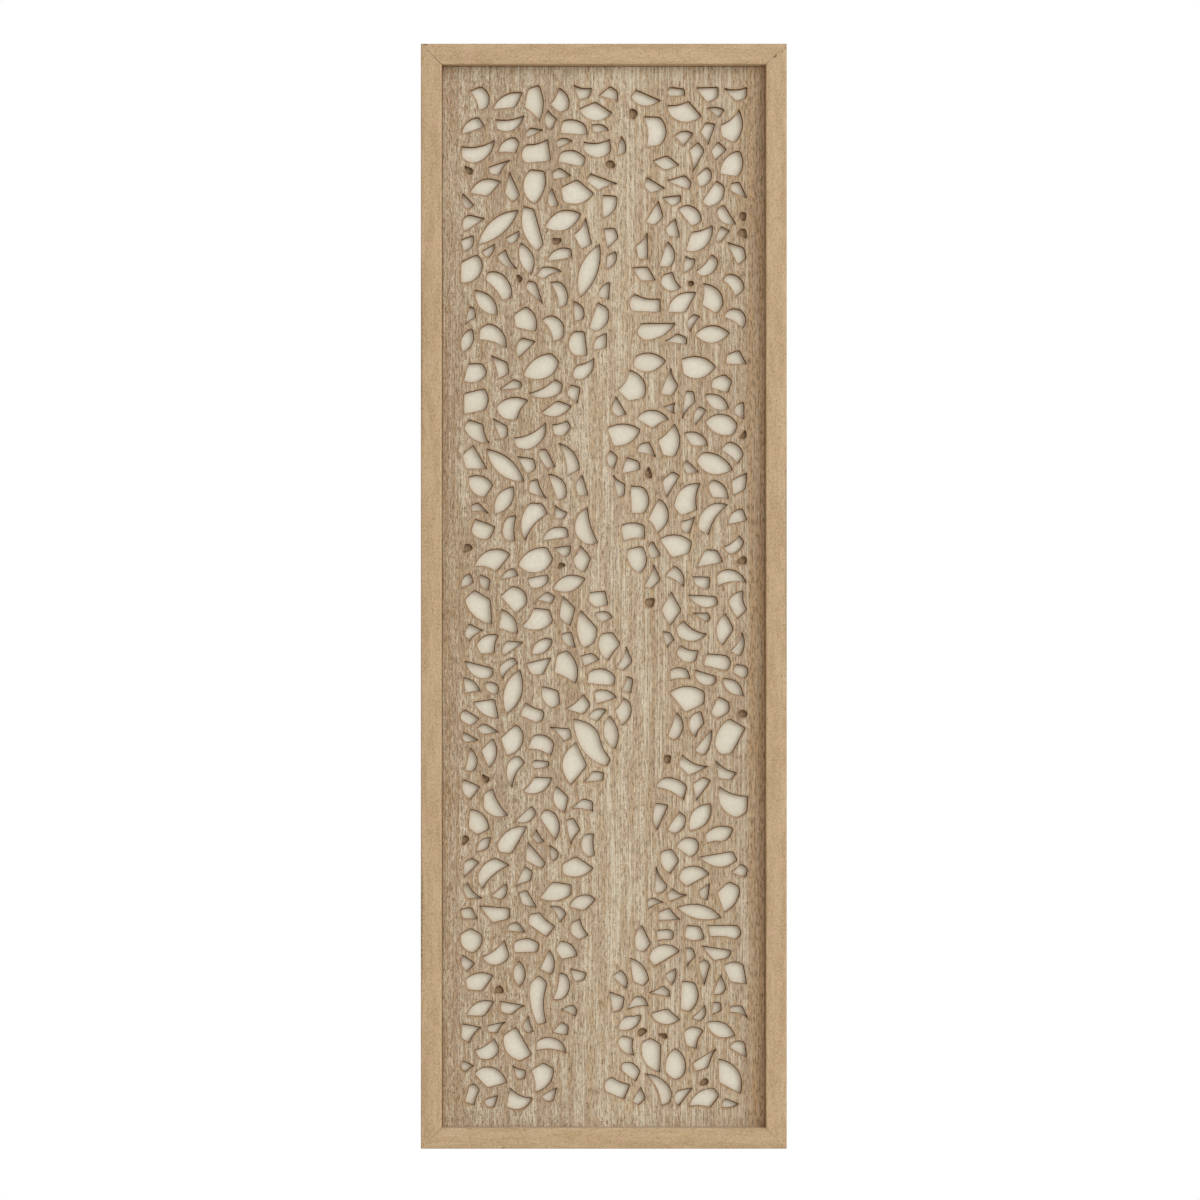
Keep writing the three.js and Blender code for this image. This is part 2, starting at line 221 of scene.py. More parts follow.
def ramp_between(tree, value, low, high, to_low=0.0, to_high=1.0):
    """A smooth step from to_low where value is low, to to_high where it is high."""
    node = add(tree, "ShaderNodeMapRange", {"interpolation_type": "SMOOTHSTEP"}, Value=value,
               From_Min=low, From_Max=high, To_Min=to_low, To_Max=to_high)
    return node.outputs["Result"]


def blend_colour(tree, share, first, second):
    """first where share is 0, second where it is 1."""
    node = add(tree, "ShaderNodeMix", {"data_type": "RGBA"})
    put(tree, node.inputs["Factor"], share)
    put(tree, node.inputs[6], first)
    put(tree, node.inputs[7], second)
    return node.outputs[2]


def shade(red, green, blue):
    """A colour given as it looks on a screen, 0 to 255, in the numbers that shaders use."""
    parts = [value / 255 for value in (red, green, blue)]
    linear = [v / 12.92 if v <= 0.04045 else ((v + 0.055) / 1.055) ** 2.4 for v in parts]
    return (*linear, 1.0)


print("helpers ready")

# %% [markdown]
# ## Long grain, as a shared node group
# Wood fibres are long and thin, so their pattern is noise squeezed across and stretched
# along. Every wood here needs some: the veneer's wash, the rails' fibres, the bare board at
# the back. The group takes a place in metres whose last part runs along the fibre, how wide
# and how long a fleck is, and the two levels between which it fades in.

# %% Node group: long grain
def long_grain_group():
    tree = bpy.data.node_groups.new("long_grain", "ShaderNodeTree")
    sockets = [("Place", "NodeSocketVector", None), ("Across", "NodeSocketFloat", 0.001),
               ("Along", "NodeSocketFloat", 0.02), ("Seed", "NodeSocketFloat", 0.0),
               ("Detail", "NodeSocketFloat", 2.0), ("Low", "NodeSocketFloat", 0.4),
               ("High", "NodeSocketFloat", 0.6)]
    for title, kind, value in sockets:
        socket = tree.interface.new_socket(title, in_out="INPUT", socket_type=kind)
        if value is not None:
            socket.default_value = value
    tree.interface.new_socket("Mask", in_out="OUTPUT", socket_type="NodeSocketFloat")
    given = tree.nodes.new("NodeGroupInput").outputs
    across = sum_of(tree, "DIVIDE", 1.0, given["Across"])
    along = sum_of(tree, "DIVIDE", 1.0, given["Along"])
    stretch = add(tree, "ShaderNodeCombineXYZ", X=across, Y=across, Z=along).outputs[0]
    squeezed = add(tree, "ShaderNodeVectorMath", {"operation": "MULTIPLY"},
                   i0=given["Place"], i1=stretch).outputs[0]
    noise = add(tree, "ShaderNodeTexNoise", {"noise_dimensions": "4D"}, Vector=squeezed,
                W=given["Seed"], Scale=1.0, Detail=given["Detail"], Roughness=0.55)
    mask = ramp_between(tree, noise.outputs[0], given["Low"], given["High"])
    out = tree.nodes.new("NodeGroupOutput")
    tree.links.new(mask, out.inputs["Mask"])
    return tree


LONG_GRAIN = long_grain_group()


def grain(tree, place, across, along, seed, low=0.4, high=0.6, detail=2.0):
    """Flecks across wide and along long, in millimetres, as a mask."""
    node = add(tree, "ShaderNodeGroup", {"node_tree": LONG_GRAIN}, Place=place,
               Across=across * MM, Along=along * MM, Seed=seed, Low=low, High=high,
               Detail=detail)
    return node.outputs["Mask"]


print("group:", LONG_GRAIN.name, [item.name for item in LONG_GRAIN.interface.items_tree])

# %% [markdown]
# ## Settled dust, as a shared node group
# On everything that hangs on a wall a little dust lies on the faces that look up. The group
# reads how far a face looks up, breaks that up with a fine noise, and puts out a mask that
# each material mixes in with its own strength.

# %% Node group: settled dust
def settled_dust_group():
    tree = bpy.data.node_groups.new("settled_dust", "ShaderNodeTree")
    tree.interface.new_socket("Place", in_out="INPUT", socket_type="NodeSocketVector")
    amount = tree.interface.new_socket("Amount", in_out="INPUT", socket_type="NodeSocketFloat")
    amount.default_value = 0.3
    tree.interface.new_socket("Mask", in_out="OUTPUT", socket_type="NodeSocketFloat")
    given = tree.nodes.new("NodeGroupInput").outputs
    normal = tree.nodes.new("ShaderNodeNewGeometry").outputs["Normal"]
    upward = add(tree, "ShaderNodeSeparateXYZ", Vector=normal).outputs["Z"]
    looks_up = ramp_between(tree, upward, 0.45, 0.95)
    speckle = add(tree, "ShaderNodeTexNoise", Vector=given["Place"], Scale=900.0,
                  Detail=3.0, Roughness=0.6).outputs[0]
    patchy = ramp_between(tree, speckle, 0.3, 0.7, 0.35, 1.0)
    mask = sum_of(tree, "MULTIPLY", sum_of(tree, "MULTIPLY", looks_up, patchy), given["Amount"])
    tree.links.new(mask, tree.nodes.new("NodeGroupOutput").inputs["Mask"])
    return tree


SETTLED_DUST = settled_dust_group()
DUST_COLOUR = shade(205, 198, 186)


def dust(tree, place, amount):
    """How much dust lies there."""
    node = add(tree, "ShaderNodeGroup", {"node_tree": SETTLED_DUST}, Place=place, Amount=amount)
    return node.outputs["Mask"]


def new_material(name):
    """A material with an empty tree but for its Principled BSDF and output."""
    material = bpy.data.materials.new(name)
    material.use_nodes = True
    tree = material.node_tree
    tree.nodes.clear()
    surface = tree.nodes.new("ShaderNodeBsdfPrincipled")
    out = tree.nodes.new("ShaderNodeOutputMaterial")
    tree.links.new(surface.outputs["BSDF"], out.inputs["Surface"])
    return material, tree, surface


print("group:", SETTLED_DUST.name)

# %% [markdown]
# ## Finish 1: limewashed veneer
# The veneer was laid in upright leaves, each cut from the log at its own place, so tone and
# figure change from leaf to leaf: short flecks on the left, long stripes on the right. White
# wash was wiped over it and stays in the pores, a little more of it near both ends, where the
# rag turned round. Beside the openings, where hands and sandpaper went round the edges, less
# of it is left and the tan shows. The last leaf on the right, where the right rail's shadow
# falls, takes little wash and a lighter, redder tan: painted warm light in that shadow. At
# the very edge the laser has browned the wood all round each opening, and the band is darker
# at the upper right of each opening: painted shade on that side. The sawn wall is dark
# where the beam went in and toasted a lighter, warmer brown deeper down. That matters more
# than it seems: light that bounces off the toasted wall is what makes the shade on the cream
# board warm. Along the frame a thin dark line is painted on the board where it meets the
# rail: painted shade where board and rail meet.
#
# The leaves are steps of one colour ramp across the board: red holds the tone, green how
# striped the leaf is and blue how much wash it took. The board's own attributes tell the
# rest: `rub` how near an edge is, `into_wood` which way the wood lies from the opening, and
# `tiny` which openings are the smallest.

# %% Material: the leaves of the veneer
VENEER_LEAVES = [  # where a leaf starts, its tone, how striped it is, how much wash it took
    (0.0, 0.3, 0.25, 0.65), (0.075, 0.42, 0.2, 0.9), (0.27, 0.5, 0.4, 0.9),
    (0.43, 0.95, 0.55, 1.0), (0.62, 0.75, 0.9, 0.9), (0.77, 0.7, 0.8, 0.8),
    # The last leaf lies where the right rail's shadow falls: its little wash and light tone are
    # painted warm light in that shadow.
    (0.925, 1.0, 0.9, 0.4),
]


def veneer_leaves(tree, across):
    """The tone, stripes and wash of the leaf at that place across the board."""
    width = board_high.x - board_low.x
    share = sum_of(tree, "MULTIPLY_ADD", across, 1 / width, 0.5)
    ramp = add(tree, "ShaderNodeValToRGB", Fac=share)
    stops = ramp.color_ramp.elements
    while len(stops) < 2 * len(VENEER_LEAVES) - 1:
        stops.new(0.5)
    seam = 0.004
    number = 0
    for leaf, (start, *values) in enumerate(VENEER_LEAVES):
        if leaf > 0:
            stops[number].position = start - seam
            stops[number].color = (*VENEER_LEAVES[leaf - 1][1:], 1.0)
            number += 1
        stops[number].position = start + (seam if leaf else 0.0)
        stops[number].color = (*values, 1.0)
        number += 1
    parts = add(tree, "ShaderNodeSeparateColor", Color=ramp.outputs["Color"]).outputs
    return parts["Red"], parts["Green"], parts["Blue"]


print(len(VENEER_LEAVES), "leaves across the board")

# %% Material: limewashed veneer
def limewashed_veneer():
    material, tree, surface = new_material("limewashed_veneer")
    place = tree.nodes.new("ShaderNodeTexCoord").outputs["Object"]
    rub = add(tree, "ShaderNodeAttribute", {"attribute_name": "rub"}).outputs["Fac"]
    tiny = add(tree, "ShaderNodeAttribute", {"attribute_name": "tiny"}).outputs["Fac"]
    outwards = add(tree, "ShaderNodeAttribute", {"attribute_name": "into_wood"}).outputs["Vector"]
    # How far the wood lies to the upper right of the opening, the side where shade falls.
    upper_right_side = add(tree, "ShaderNodeVectorMath", {"operation": "DOT_PRODUCT"}, i0=outwards,
                 i1=(0.8, 0.6, 0.0)).outputs["Value"]
    parts = add(tree, "ShaderNodeSeparateXYZ", Vector=place).outputs
    wander = add(tree, "ShaderNodeTexNoise", Vector=place, Scale=7.0, Detail=1.0).outputs["Color"]
    drift = add(tree, "ShaderNodeVectorMath", {"operation": "MULTIPLY"}, i0=wander,
                i1=(4 * MM, 0, 0)).outputs[0]
    fibre = add(tree, "ShaderNodeVectorMath", {"operation": "ADD"}, i0=place, i1=drift).outputs[0]
    tone, striped, washed = veneer_leaves(tree, parts["X"])
    flecked = sum_of(tree, "SUBTRACT", 1.0, striped)

    bands = grain(tree, fibre, 8, 260, 1.0, 0.36, 0.64)
    patches = grain(tree, fibre, 7, 30, 2.0, 0.4, 0.62)
    swathes = grain(tree, fibre, 4.5, 200, 16.0, 0.42, 0.6)
    stripes = grain(tree, fibre, 1.5, 80, 3.0, 0.5, 0.56, 1.0)
    threads = grain(tree, fibre, 1.2, 12, 4.0, 0.5, 0.57, 1.0)
    flecks = grain(tree, fibre, 1.25, 3.6, 5.0, 0.5, 0.56)
    pores = grain(tree, fibre, 1.2, 6, 6.0, 0.52, 0.59)
    grit = grain(tree, place, 1.3, 1.2, 7.0, 0.48, 0.56, 1.0)
    rosy = grain(tree, fibre, 11, 160, 10.0, 0.45, 0.65)
    rubbed = grain(tree, fibre, 12, 34, 8.0, 0.35, 0.65)

    # A browned band runs round every opening; its extra darkness at the upper right side is painted
    # shade.
    char_and_painted_shade = sum_of(tree, "MULTIPLY", ramp_between(tree, rub, 0.66, 0.94),
                  ramp_between(tree, upper_right_side, -0.9, 0.9, 0.25, 1.0))
    near = sum_of(tree, "MULTIPLY", ramp_between(tree, rub, 0.0, 0.5),
                  ramp_between(tree, rubbed, 0.0, 1.0, 0.5, 1.0))
    left = sum_of(tree, "SUBTRACT", washed, sum_of(tree, "MULTIPLY", near, 0.56))
    tan = blend_colour(tree, tone, shade(158, 129, 97), shade(198, 171, 137))
    # Leaves with little wash show a redder tan; on the last leaf this is painted warm light in the
    # right rail's shadow.
    bare = ramp_between(tree, washed, 0.35, 0.8, 0.6, 0.0)
    tan = blend_colour(tree, bare, tan, shade(204, 163, 120))
    tan = blend_colour(tree, sum_of(tree, "MULTIPLY", bands, 0.4), tan, shade(184, 152, 116))
    tan = blend_colour(tree, sum_of(tree, "MULTIPLY", rosy, 0.35), tan, shade(178, 152, 136))
    tan = blend_colour(tree, sum_of(tree, "MULTIPLY", pores, 0.65), tan, shade(128, 99, 69))
    wash = sum_of(tree, "MULTIPLY", sum_of(tree, "MULTIPLY", stripes, striped), 0.85)
    wash = sum_of(tree, "MULTIPLY_ADD", sum_of(tree, "MULTIPLY", flecks, flecked), 0.75, wash)
    wash = sum_of(tree, "MULTIPLY_ADD", threads, 0.45, wash)
    wash = sum_of(tree, "MULTIPLY_ADD", grit, 0.35, wash)
    wash = sum_of(tree, "MULTIPLY", wash, ramp_between(tree, patches, 0.0, 1.0, 0.65, 1.15))
    wash = sum_of(tree, "MULTIPLY", wash, ramp_between(tree, swathes, 0.0, 1.0, 0.55, 1.3))
    from_end = sum_of(tree, "MINIMUM", sum_of(tree, "SUBTRACT", parts["Z"], board_low.z),
                      sum_of(tree, "SUBTRACT", board_high.z, parts["Z"]))
    wash = sum_of(tree, "MULTIPLY", wash,
                  ramp_between(tree, from_end, 14 * MM, 32 * MM, 1.35, 1.0))
    wash = sum_of(tree, "MULTIPLY", sum_of(tree, "MINIMUM", wash, 1.0),
                  sum_of(tree, "MAXIMUM", left, 0.0))
    face = blend_colour(tree, wash, tan, shade(224, 210, 186))
    face = blend_colour(tree, sum_of(tree, "MULTIPLY", near, 0.45), face, shade(196, 160, 125))
    face = blend_colour(tree, char_and_painted_shade, face, shade(64, 44, 24))
    # Painted shade: a thin dark line on the board along the frame's inner edge, where the rail
    # meets it.
    sideways = sum_of(tree, "ABSOLUTE", parts["X"])
    frame_edge_shade = sum_of(tree, "MAXIMUM",
                   ramp_between(tree, sideways, sight_half - 1.4 * MM, sight_half - 0.5 * MM),
                   ramp_between(tree, parts["Z"], sight_top - 1.2 * MM, sight_top - 0.4 * MM))
    face = blend_colour(tree, sum_of(tree, "MULTIPLY", frame_edge_shade, 0.6), face, shade(104, 77, 50))

    depth = sum_of(tree, "SUBTRACT", parts["Y"], board_low.y)
    wall = ramp_between(tree, depth, 0.12 * MM, 0.8 * MM)
    scorch = grain(tree, place, 1.2, 3.0, 9.0, 0.3, 0.7)
    browned = blend_colour(tree, scorch, shade(92, 63, 34), shade(138, 99, 58))
    toasted = blend_colour(tree, scorch, shade(190, 136, 76), shade(212, 160, 98))
    browned = blend_colour(tree, ramp_between(tree, depth, 0.8 * MM, 1.7 * MM), browned, toasted)
    deep = ramp_between(tree, depth, 0.75 * board_thickness, 0.8 * board_thickness)
    # Painted shade: the tiniest openings get darker brown walls and floors, standing for the shade
    # inside narrow openings.
    pocket_shade_brown = blend_colour(tree, deep, shade(116, 88, 58), shade(176, 149, 117))
    browned = blend_colour(tree, sum_of(tree, "MULTIPLY", tiny, 0.9), browned, pocket_shade_brown)
    colour = blend_colour(tree, wall, face, browned)
    put(tree, surface.inputs["Base Color"], colour)

    rough = sum_of(tree, "MULTIPLY_ADD", wash, 0.12, 0.7)
    put(tree, surface.inputs["Roughness"], rough)
    surface.inputs["Specular IOR Level"].default_value = 0.3
    height = sum_of(tree, "MULTIPLY_ADD", flecks, 0.4, sum_of(tree, "MULTIPLY", stripes, 0.6))
    height = sum_of(tree, "MULTIPLY_ADD", grit, 0.3, height)
    height = sum_of(tree, "SUBTRACT", height, sum_of(tree, "MULTIPLY", pores, 0.9))
    relief = add(tree, "ShaderNodeBump", Strength=1.0, Distance=0.4 * MM, Height=height)
    put(tree, surface.inputs["Normal"], relief.outputs["Normal"])
    return material


VENEER = limewashed_veneer()
print("material:", VENEER.name, len(VENEER.node_tree.nodes), "nodes")

# %% [markdown]
# ## Small marks, as a shared node group
# The rails carry a few small marks: two staples at the upper right corner, dark specks where
# filler has come out, a hairline crack. Each is a soft-edged ellipse that a noise frays. The
# group takes where it is on the panel's front, how long and wide, and how it is turned.

# %% Node group: a small mark
def small_mark_group():
    tree = bpy.data.node_groups.new("small_mark", "ShaderNodeTree")
    sockets = [("Place", "NodeSocketVector"), ("Middle", "NodeSocketVector"),
               ("Half Length", "NodeSocketFloat"), ("Half Width", "NodeSocketFloat"),
               ("Angle", "NodeSocketFloat"), ("Fray", "NodeSocketFloat")]
    for title, kind in sockets:
        tree.interface.new_socket(title, in_out="INPUT", socket_type=kind)
    tree.interface.new_socket("Mask", in_out="OUTPUT", socket_type="NodeSocketFloat")
    given = tree.nodes.new("NodeGroupInput").outputs
    away = add(tree, "ShaderNodeVectorMath", {"operation": "SUBTRACT"}, i0=given["Place"],
               i1=given["Middle"]).outputs[0]
    turned = add(tree, "ShaderNodeVectorRotate", {"rotation_type": "Y_AXIS"}, Vector=away,
                 Angle=given["Angle"]).outputs[0]
    parts = add(tree, "ShaderNodeSeparateXYZ", Vector=turned).outputs
    long_share = sum_of(tree, "DIVIDE", parts["X"], given["Half Length"])
    wide_share = sum_of(tree, "DIVIDE", parts["Z"], given["Half Width"])
    squares = sum_of(tree, "MULTIPLY_ADD", long_share, long_share,
                     sum_of(tree, "MULTIPLY", wide_share, wide_share))
    noise = add(tree, "ShaderNodeTexNoise", Vector=given["Place"], Scale=1100.0, Detail=2.0)
    frayed = sum_of(tree, "SUBTRACT", noise.outputs[0], 0.5)
    edge = sum_of(tree, "MULTIPLY_ADD", frayed, given["Fray"], squares)
    mask = ramp_between(tree, edge, 0.5, 1.1, 1.0, 0.0)
    tree.links.new(mask, tree.nodes.new("NodeGroupOutput").inputs["Mask"])
    return tree


SMALL_MARK = small_mark_group()
print("group:", SMALL_MARK.name)

# %% [markdown]
# ## Finish 2: golden tan rails
# The rails are stained a light golden tan with a satin lacquer. The fibres run along each
# rail, so the pattern can't read the object's own axes: two rails lie across and two stand.
# Instead the node tree that makes the rails writes `along_rail` on every point: across the
# rail, into its depth, and along it. The material also reads `rail_tone`, but no tree writes
# it, so every rail gets the same tone from it. Close up the stain is cloudy and finely
# speckled.

# %% Material: golden tan rail
RAIL_MARKS = [  # across, up, half length, half width in mm, turn in degrees, fray, how dark
    (-146.0, 4.0, 1.7, 0.6, 0, 1.5, 0.9), (148.7, 1.3, 0.8, 0.7, 0, 1.0, 0.9),
    (140.6, -5.4, 1.7, 0.75, 30, 0.6, 0.85), (146.3, -1.5, 1.5, 0.5, 45, 0.5, 0.6),
    (135.3, -23.6, 1.5, 0.3, -60, 0.8, 0.35), (-137.6, -23.7, 3.2, 0.25, 5, 1.2, 0.4),
    (-82.3, -900.2, 1.2, 0.6, 0, 1.0, 0.9), (-68.8, -887.4, 0.6, 0.5, 0, 0.8, 0.6),
    (-64.7, -885.8, 0.7, 0.6, 0, 0.8, 0.75), (-149.2, -712, 42, 1.1, 90, 9.0, 0.5),
    (-149.3, -250, 60, 0.9, 90, 9.0, 0.35), (149.4, -430, 90, 0.8, 90, 9.0, 0.3),
]


def golden_rail():
    material, tree, surface = new_material("golden_tan_rail")
    place = add(tree, "ShaderNodeAttribute", {"attribute_name": "along_rail"}).outputs["Vector"]
    tone = add(tree, "ShaderNodeAttribute", {"attribute_name": "rail_tone"}).outputs["Fac"]
    on_panel = tree.nodes.new("ShaderNodeTexCoord").outputs["Object"]
    parts = add(tree, "ShaderNodeSeparateXYZ", Vector=place).outputs

    cloud = grain(tree, place, 7, 60, 11.0, 0.38, 0.62)
    fibres = grain(tree, place, 1.4, 24, 12.0, 0.44, 0.6, 3.0)
    pores = grain(tree, place, 1.0, 3.0, 13.0, 0.54, 0.64, 2.0)
    mottle = grain(tree, place, 2.6, 9.0, 14.0, 0.42, 0.6, 3.0)
    speckle = grain(tree, place, 1.3, 1.6, 15.0, 0.42, 0.6, 2.0)
    blush = grain(tree, place, 5, 14, 17.0, 0.45, 0.6, 3.0)

    stain = sum_of(tree, "MULTIPLY_ADD", cloud, 0.5, sum_of(tree, "MULTIPLY", tone, 0.8))
    colour = blend_colour(tree, stain, shade(179, 149, 112), shade(216, 191, 154))
    colour = blend_colour(tree, sum_of(tree, "MULTIPLY", fibres, 0.4), colour, shade(172, 141, 103))
    colour = blend_colour(tree, sum_of(tree, "MULTIPLY", mottle, 0.5), colour, shade(180, 150, 108))
    colour = blend_colour(tree, sum_of(tree, "MULTIPLY", blush, 0.4), colour, shade(206, 172, 142))
    colour = blend_colour(tree, sum_of(tree, "MULTIPLY", speckle, 0.4), colour,
                          shade(218, 194, 159))
    colour = blend_colour(tree, sum_of(tree, "MULTIPLY", pores, 0.45), colour, shade(150, 117, 79))

    outer = ramp_between(tree, parts["X"], 0.2 * MM, 1.3 * MM, 1.0, 0.0)
    colour = blend_colour(tree, sum_of(tree, "MULTIPLY", outer, 0.35), colour, shade(166, 136, 98))
    bare = ramp_between(tree, parts["Y"], rail_depth - 1.5 * MM, rail_depth - 0.6 * MM)
    raw = blend_colour(tree, fibres, shade(203, 178, 142), shade(180, 150, 112))
    colour = blend_colour(tree, bare, colour, raw)
    for across, up, half_length, half_width, turn, fray, dark in RAIL_MARKS:
        mark = add(tree, "ShaderNodeGroup", {"node_tree": SMALL_MARK}, Place=on_panel,
                   Middle=(across * MM, front_y, up * MM), Half_Length=half_length * MM,
                   Half_Width=half_width * MM, Angle=math.radians(turn), Fray=fray)
        share = sum_of(tree, "MULTIPLY", mark.outputs["Mask"], dark)
        colour = blend_colour(tree, share, colour, shade(84, 58, 36))
    dusty = dust(tree, place, 0.35)
    colour = blend_colour(tree, dusty, colour, DUST_COLOUR)
    put(tree, surface.inputs["Base Color"], colour)

    rough = sum_of(tree, "MULTIPLY_ADD", mottle, 0.1, 0.5)
    rough = sum_of(tree, "ADD", rough, sum_of(tree, "MULTIPLY", bare, 0.25))
    put(tree, surface.inputs["Roughness"], sum_of(tree, "MULTIPLY_ADD", dusty, 0.3, rough))
    surface.inputs["Specular IOR Level"].default_value = 0.35
    height = sum_of(tree, "SUBTRACT", sum_of(tree, "MULTIPLY", speckle, 0.4), pores)
    relief = add(tree, "ShaderNodeBump", Strength=0.35, Distance=0.1 * MM, Height=height)
    put(tree, surface.inputs["Normal"], relief.outputs["Normal"])
    return material


RAIL_WOOD = golden_rail()
print("material:", RAIL_WOOD.name, len(RAIL_WOOD.node_tree.nodes), "nodes")

# %% [markdown]
# ## Finish 3: cream board
# The board behind has a coat of matt cream paint on its face, rolled on, so it is very
# slightly mottled. Its back and edges stay bare: light brown pressed fibre board. The depth
# of a point tells paint from fibre.

# %% Material: cream painted board
def cream_board():
    material, tree, surface = new_material("cream_painted_board")
    place = tree.nodes.new("ShaderNodeTexCoord").outputs["Object"]
    parts = add(tree, "ShaderNodeSeparateXYZ", Vector=place).outputs
    rolled = grain(tree, place, 3.2, 3.6, 21.0, 0.35, 0.65, 3.0)
    cloudy = grain(tree, place, 40, 60, 22.0, 0.35, 0.65)
    paint = blend_colour(tree, rolled, shade(226, 219, 202), shade(234, 229, 213))
    paint = blend_colour(tree, sum_of(tree, "MULTIPLY", cloudy, 0.4), paint, shade(220, 212, 190))
    speckle = grain(tree, place, 0.5, 0.7, 23.0, 0.45, 0.7, 3.0)
    felted = grain(tree, place, 2.0, 2.6, 24.0, 0.35, 0.65, 4.0)
    fibre = blend_colour(tree, felted, shade(150, 118, 84), shade(176, 144, 106))
    fibre = blend_colour(tree, sum_of(tree, "MULTIPLY", speckle, 0.5), fibre, shade(124, 94, 64))
    painted = ramp_between(tree, parts["Y"], backing_low.y + 0.15 * MM, backing_low.y + 0.3 * MM,
                           1.0, 0.0)
    put(tree, surface.inputs["Base Color"], blend_colour(tree, painted, fibre, paint))
    put(tree, surface.inputs["Roughness"], ramp_between(tree, painted, 0.0, 1.0, 0.85, 0.62))
    surface.inputs["Specular IOR Level"].default_value = 0.3
    height = blend_colour(tree, painted, felted, rolled)
    relief = add(tree, "ShaderNodeBump", Strength=0.25, Distance=0.08 * MM, Height=height)
    put(tree, surface.inputs["Normal"], relief.outputs["Normal"])
    return material


CREAM = cream_board()
print("material:", CREAM.name, len(CREAM.node_tree.nodes), "nodes")

# %% [markdown]
# ## Finish 4: zinc-plated steel
# The hanger and its nails are cheap pressed steel with a thin zinc coat. Zinc shows a soft
# cloudy bloom, fine rolling lines along the strip, and a duller grey where dust settles on
# the faces that look up.

# %% Material: zinc-plated steel
def zinc_plate():
    material, tree, surface = new_material("zinc_plated_steel")
    place = tree.nodes.new("ShaderNodeTexCoord").outputs["Object"]
    turned = add(tree, "ShaderNodeMapping", {"vector_type": "TEXTURE"}, Vector=place,
                 Rotation=(0, math.pi / 2, 0)).outputs[0]
    bloom = grain(tree, place, 2.4, 2.8, 31.0, 0.35, 0.65, 4.0)
    lines = grain(tree, turned, 0.16, 12, 32.0, 0.35, 0.65)
    colour = blend_colour(tree, bloom, shade(176, 180, 184), shade(205, 208, 210))
    colour = blend_colour(tree, sum_of(tree, "MULTIPLY", lines, 0.25), colour, shade(152, 156, 160))
    dusty = dust(tree, place, 0.4)
    put(tree, surface.inputs["Base Color"], blend_colour(tree, dusty, colour, DUST_COLOUR))
    put(tree, surface.inputs["Metallic"], ramp_between(tree, dusty, 0.0, 0.6, 1.0, 0.3))
    rough = sum_of(tree, "MULTIPLY_ADD", bloom, 0.14, 0.3)
    put(tree, surface.inputs["Roughness"], sum_of(tree, "MULTIPLY_ADD", lines, 0.08, rough))
    relief = add(tree, "ShaderNodeBump", Strength=0.25, Distance=0.03 * MM, Height=lines)
    put(tree, surface.inputs["Normal"], relief.outputs["Normal"])
    return material


ZINC = zinc_plate()
print("material:", ZINC.name, len(ZINC.node_tree.nodes), "nodes")

# %% [markdown]
# ## The outlines of the openings
# The CAD board holds each opening as a few corners and the crest of each bowed side. They
# could be traced again, but then the two models would drift apart, so the outlines are read
# from the CAD mesh itself. A copy is merged, because a CAD mesh is loose triangles, and the
# rim edges of its front face are walked round, one loop for each opening.

# %% Read the outlines from the board
def front_loops(node):
    """The rim of each opening in the front face, as lists of points across and up."""
    work = bmesh.new()
    work.from_mesh(node.data)
    bmesh.ops.remove_doubles(work, verts=work.verts, dist=0.002 * MM)
    work.normal_update()
    front = [face for face in work.faces if face.normal.y < -0.9]
    front_set = set(front)
    following = {}
    for face in front:
        for loop in face.loops:
            others = [other for other in loop.edge.link_faces if other not in front_set]
            if others:
                following[loop.vert.index] = loop.link_loop_next.vert.index
    work.verts.ensure_lookup_table()
    loops = []
    while following:
        start, here = following.popitem()
        loop = [start]
        while here != start:
            loop.append(here)
            here = following.pop(here)
        loops.append(np.array([(work.verts[i].co.x, work.verts[i].co.z) for i in loop]))
    work.free()
    return loops


def area_of(loop):
    """Twice the sum of its triangles: positive where it runs against the clock."""
    x, z = loop[:, 0], loop[:, 1]
    return 0.5 * float(np.sum(x * np.roll(z, -1) - np.roll(x, -1) * z))


all_loops = front_loops(frame["nodes"]["fretwork_panel"])
all_loops.sort(key=lambda loop: -abs(area_of(loop)))
corner_loops = [loop if area_of(loop) > 0 else loop[::-1] for loop in all_loops[1:]]
open_share = sum(area_of(loop) for loop in corner_loops) / abs(area_of(all_loops[0]))
print(len(corner_loops), "openings, which take", round(100 * open_share, 1), "% of the board")

# %% [markdown]
# ## Sharp corners and bowed sides
# A laser follows curves as easily as straight lines. Where an outline turns sharply it has a
# true corner; every other point is the crest of a bowed side, drawn as one smooth arc. The
# drawing was made with a soft hand: pointed tips stay nearly sharp and wide corners are well
# rounded. The tiniest openings come out nearly round, because there the beam's own width eats
# up the corners. Straight sides need few points and bowed ones more, which keeps the mesh light.

# %% Turn corners and crests into smooth outlines
CORNER_TURN = math.radians(55)
ROUND_BY_TURN = ([60, 90, 125], [2.2 * MM, 1.1 * MM, 0.55 * MM])
TINY_GIRTH = 26 * MM


def along(points, lengths):
    """The places at the given lengths along a chain of points."""
    steps = np.linalg.norm(np.diff(points, axis=0), axis=1)
    reached = np.concatenate([[0], np.cumsum(steps)])
    across = np.interp(lengths, reached, points[:, 0])
    up = np.interp(lengths, reached, points[:, 1])
    return np.stack([across, up], axis=1), reached[-1]


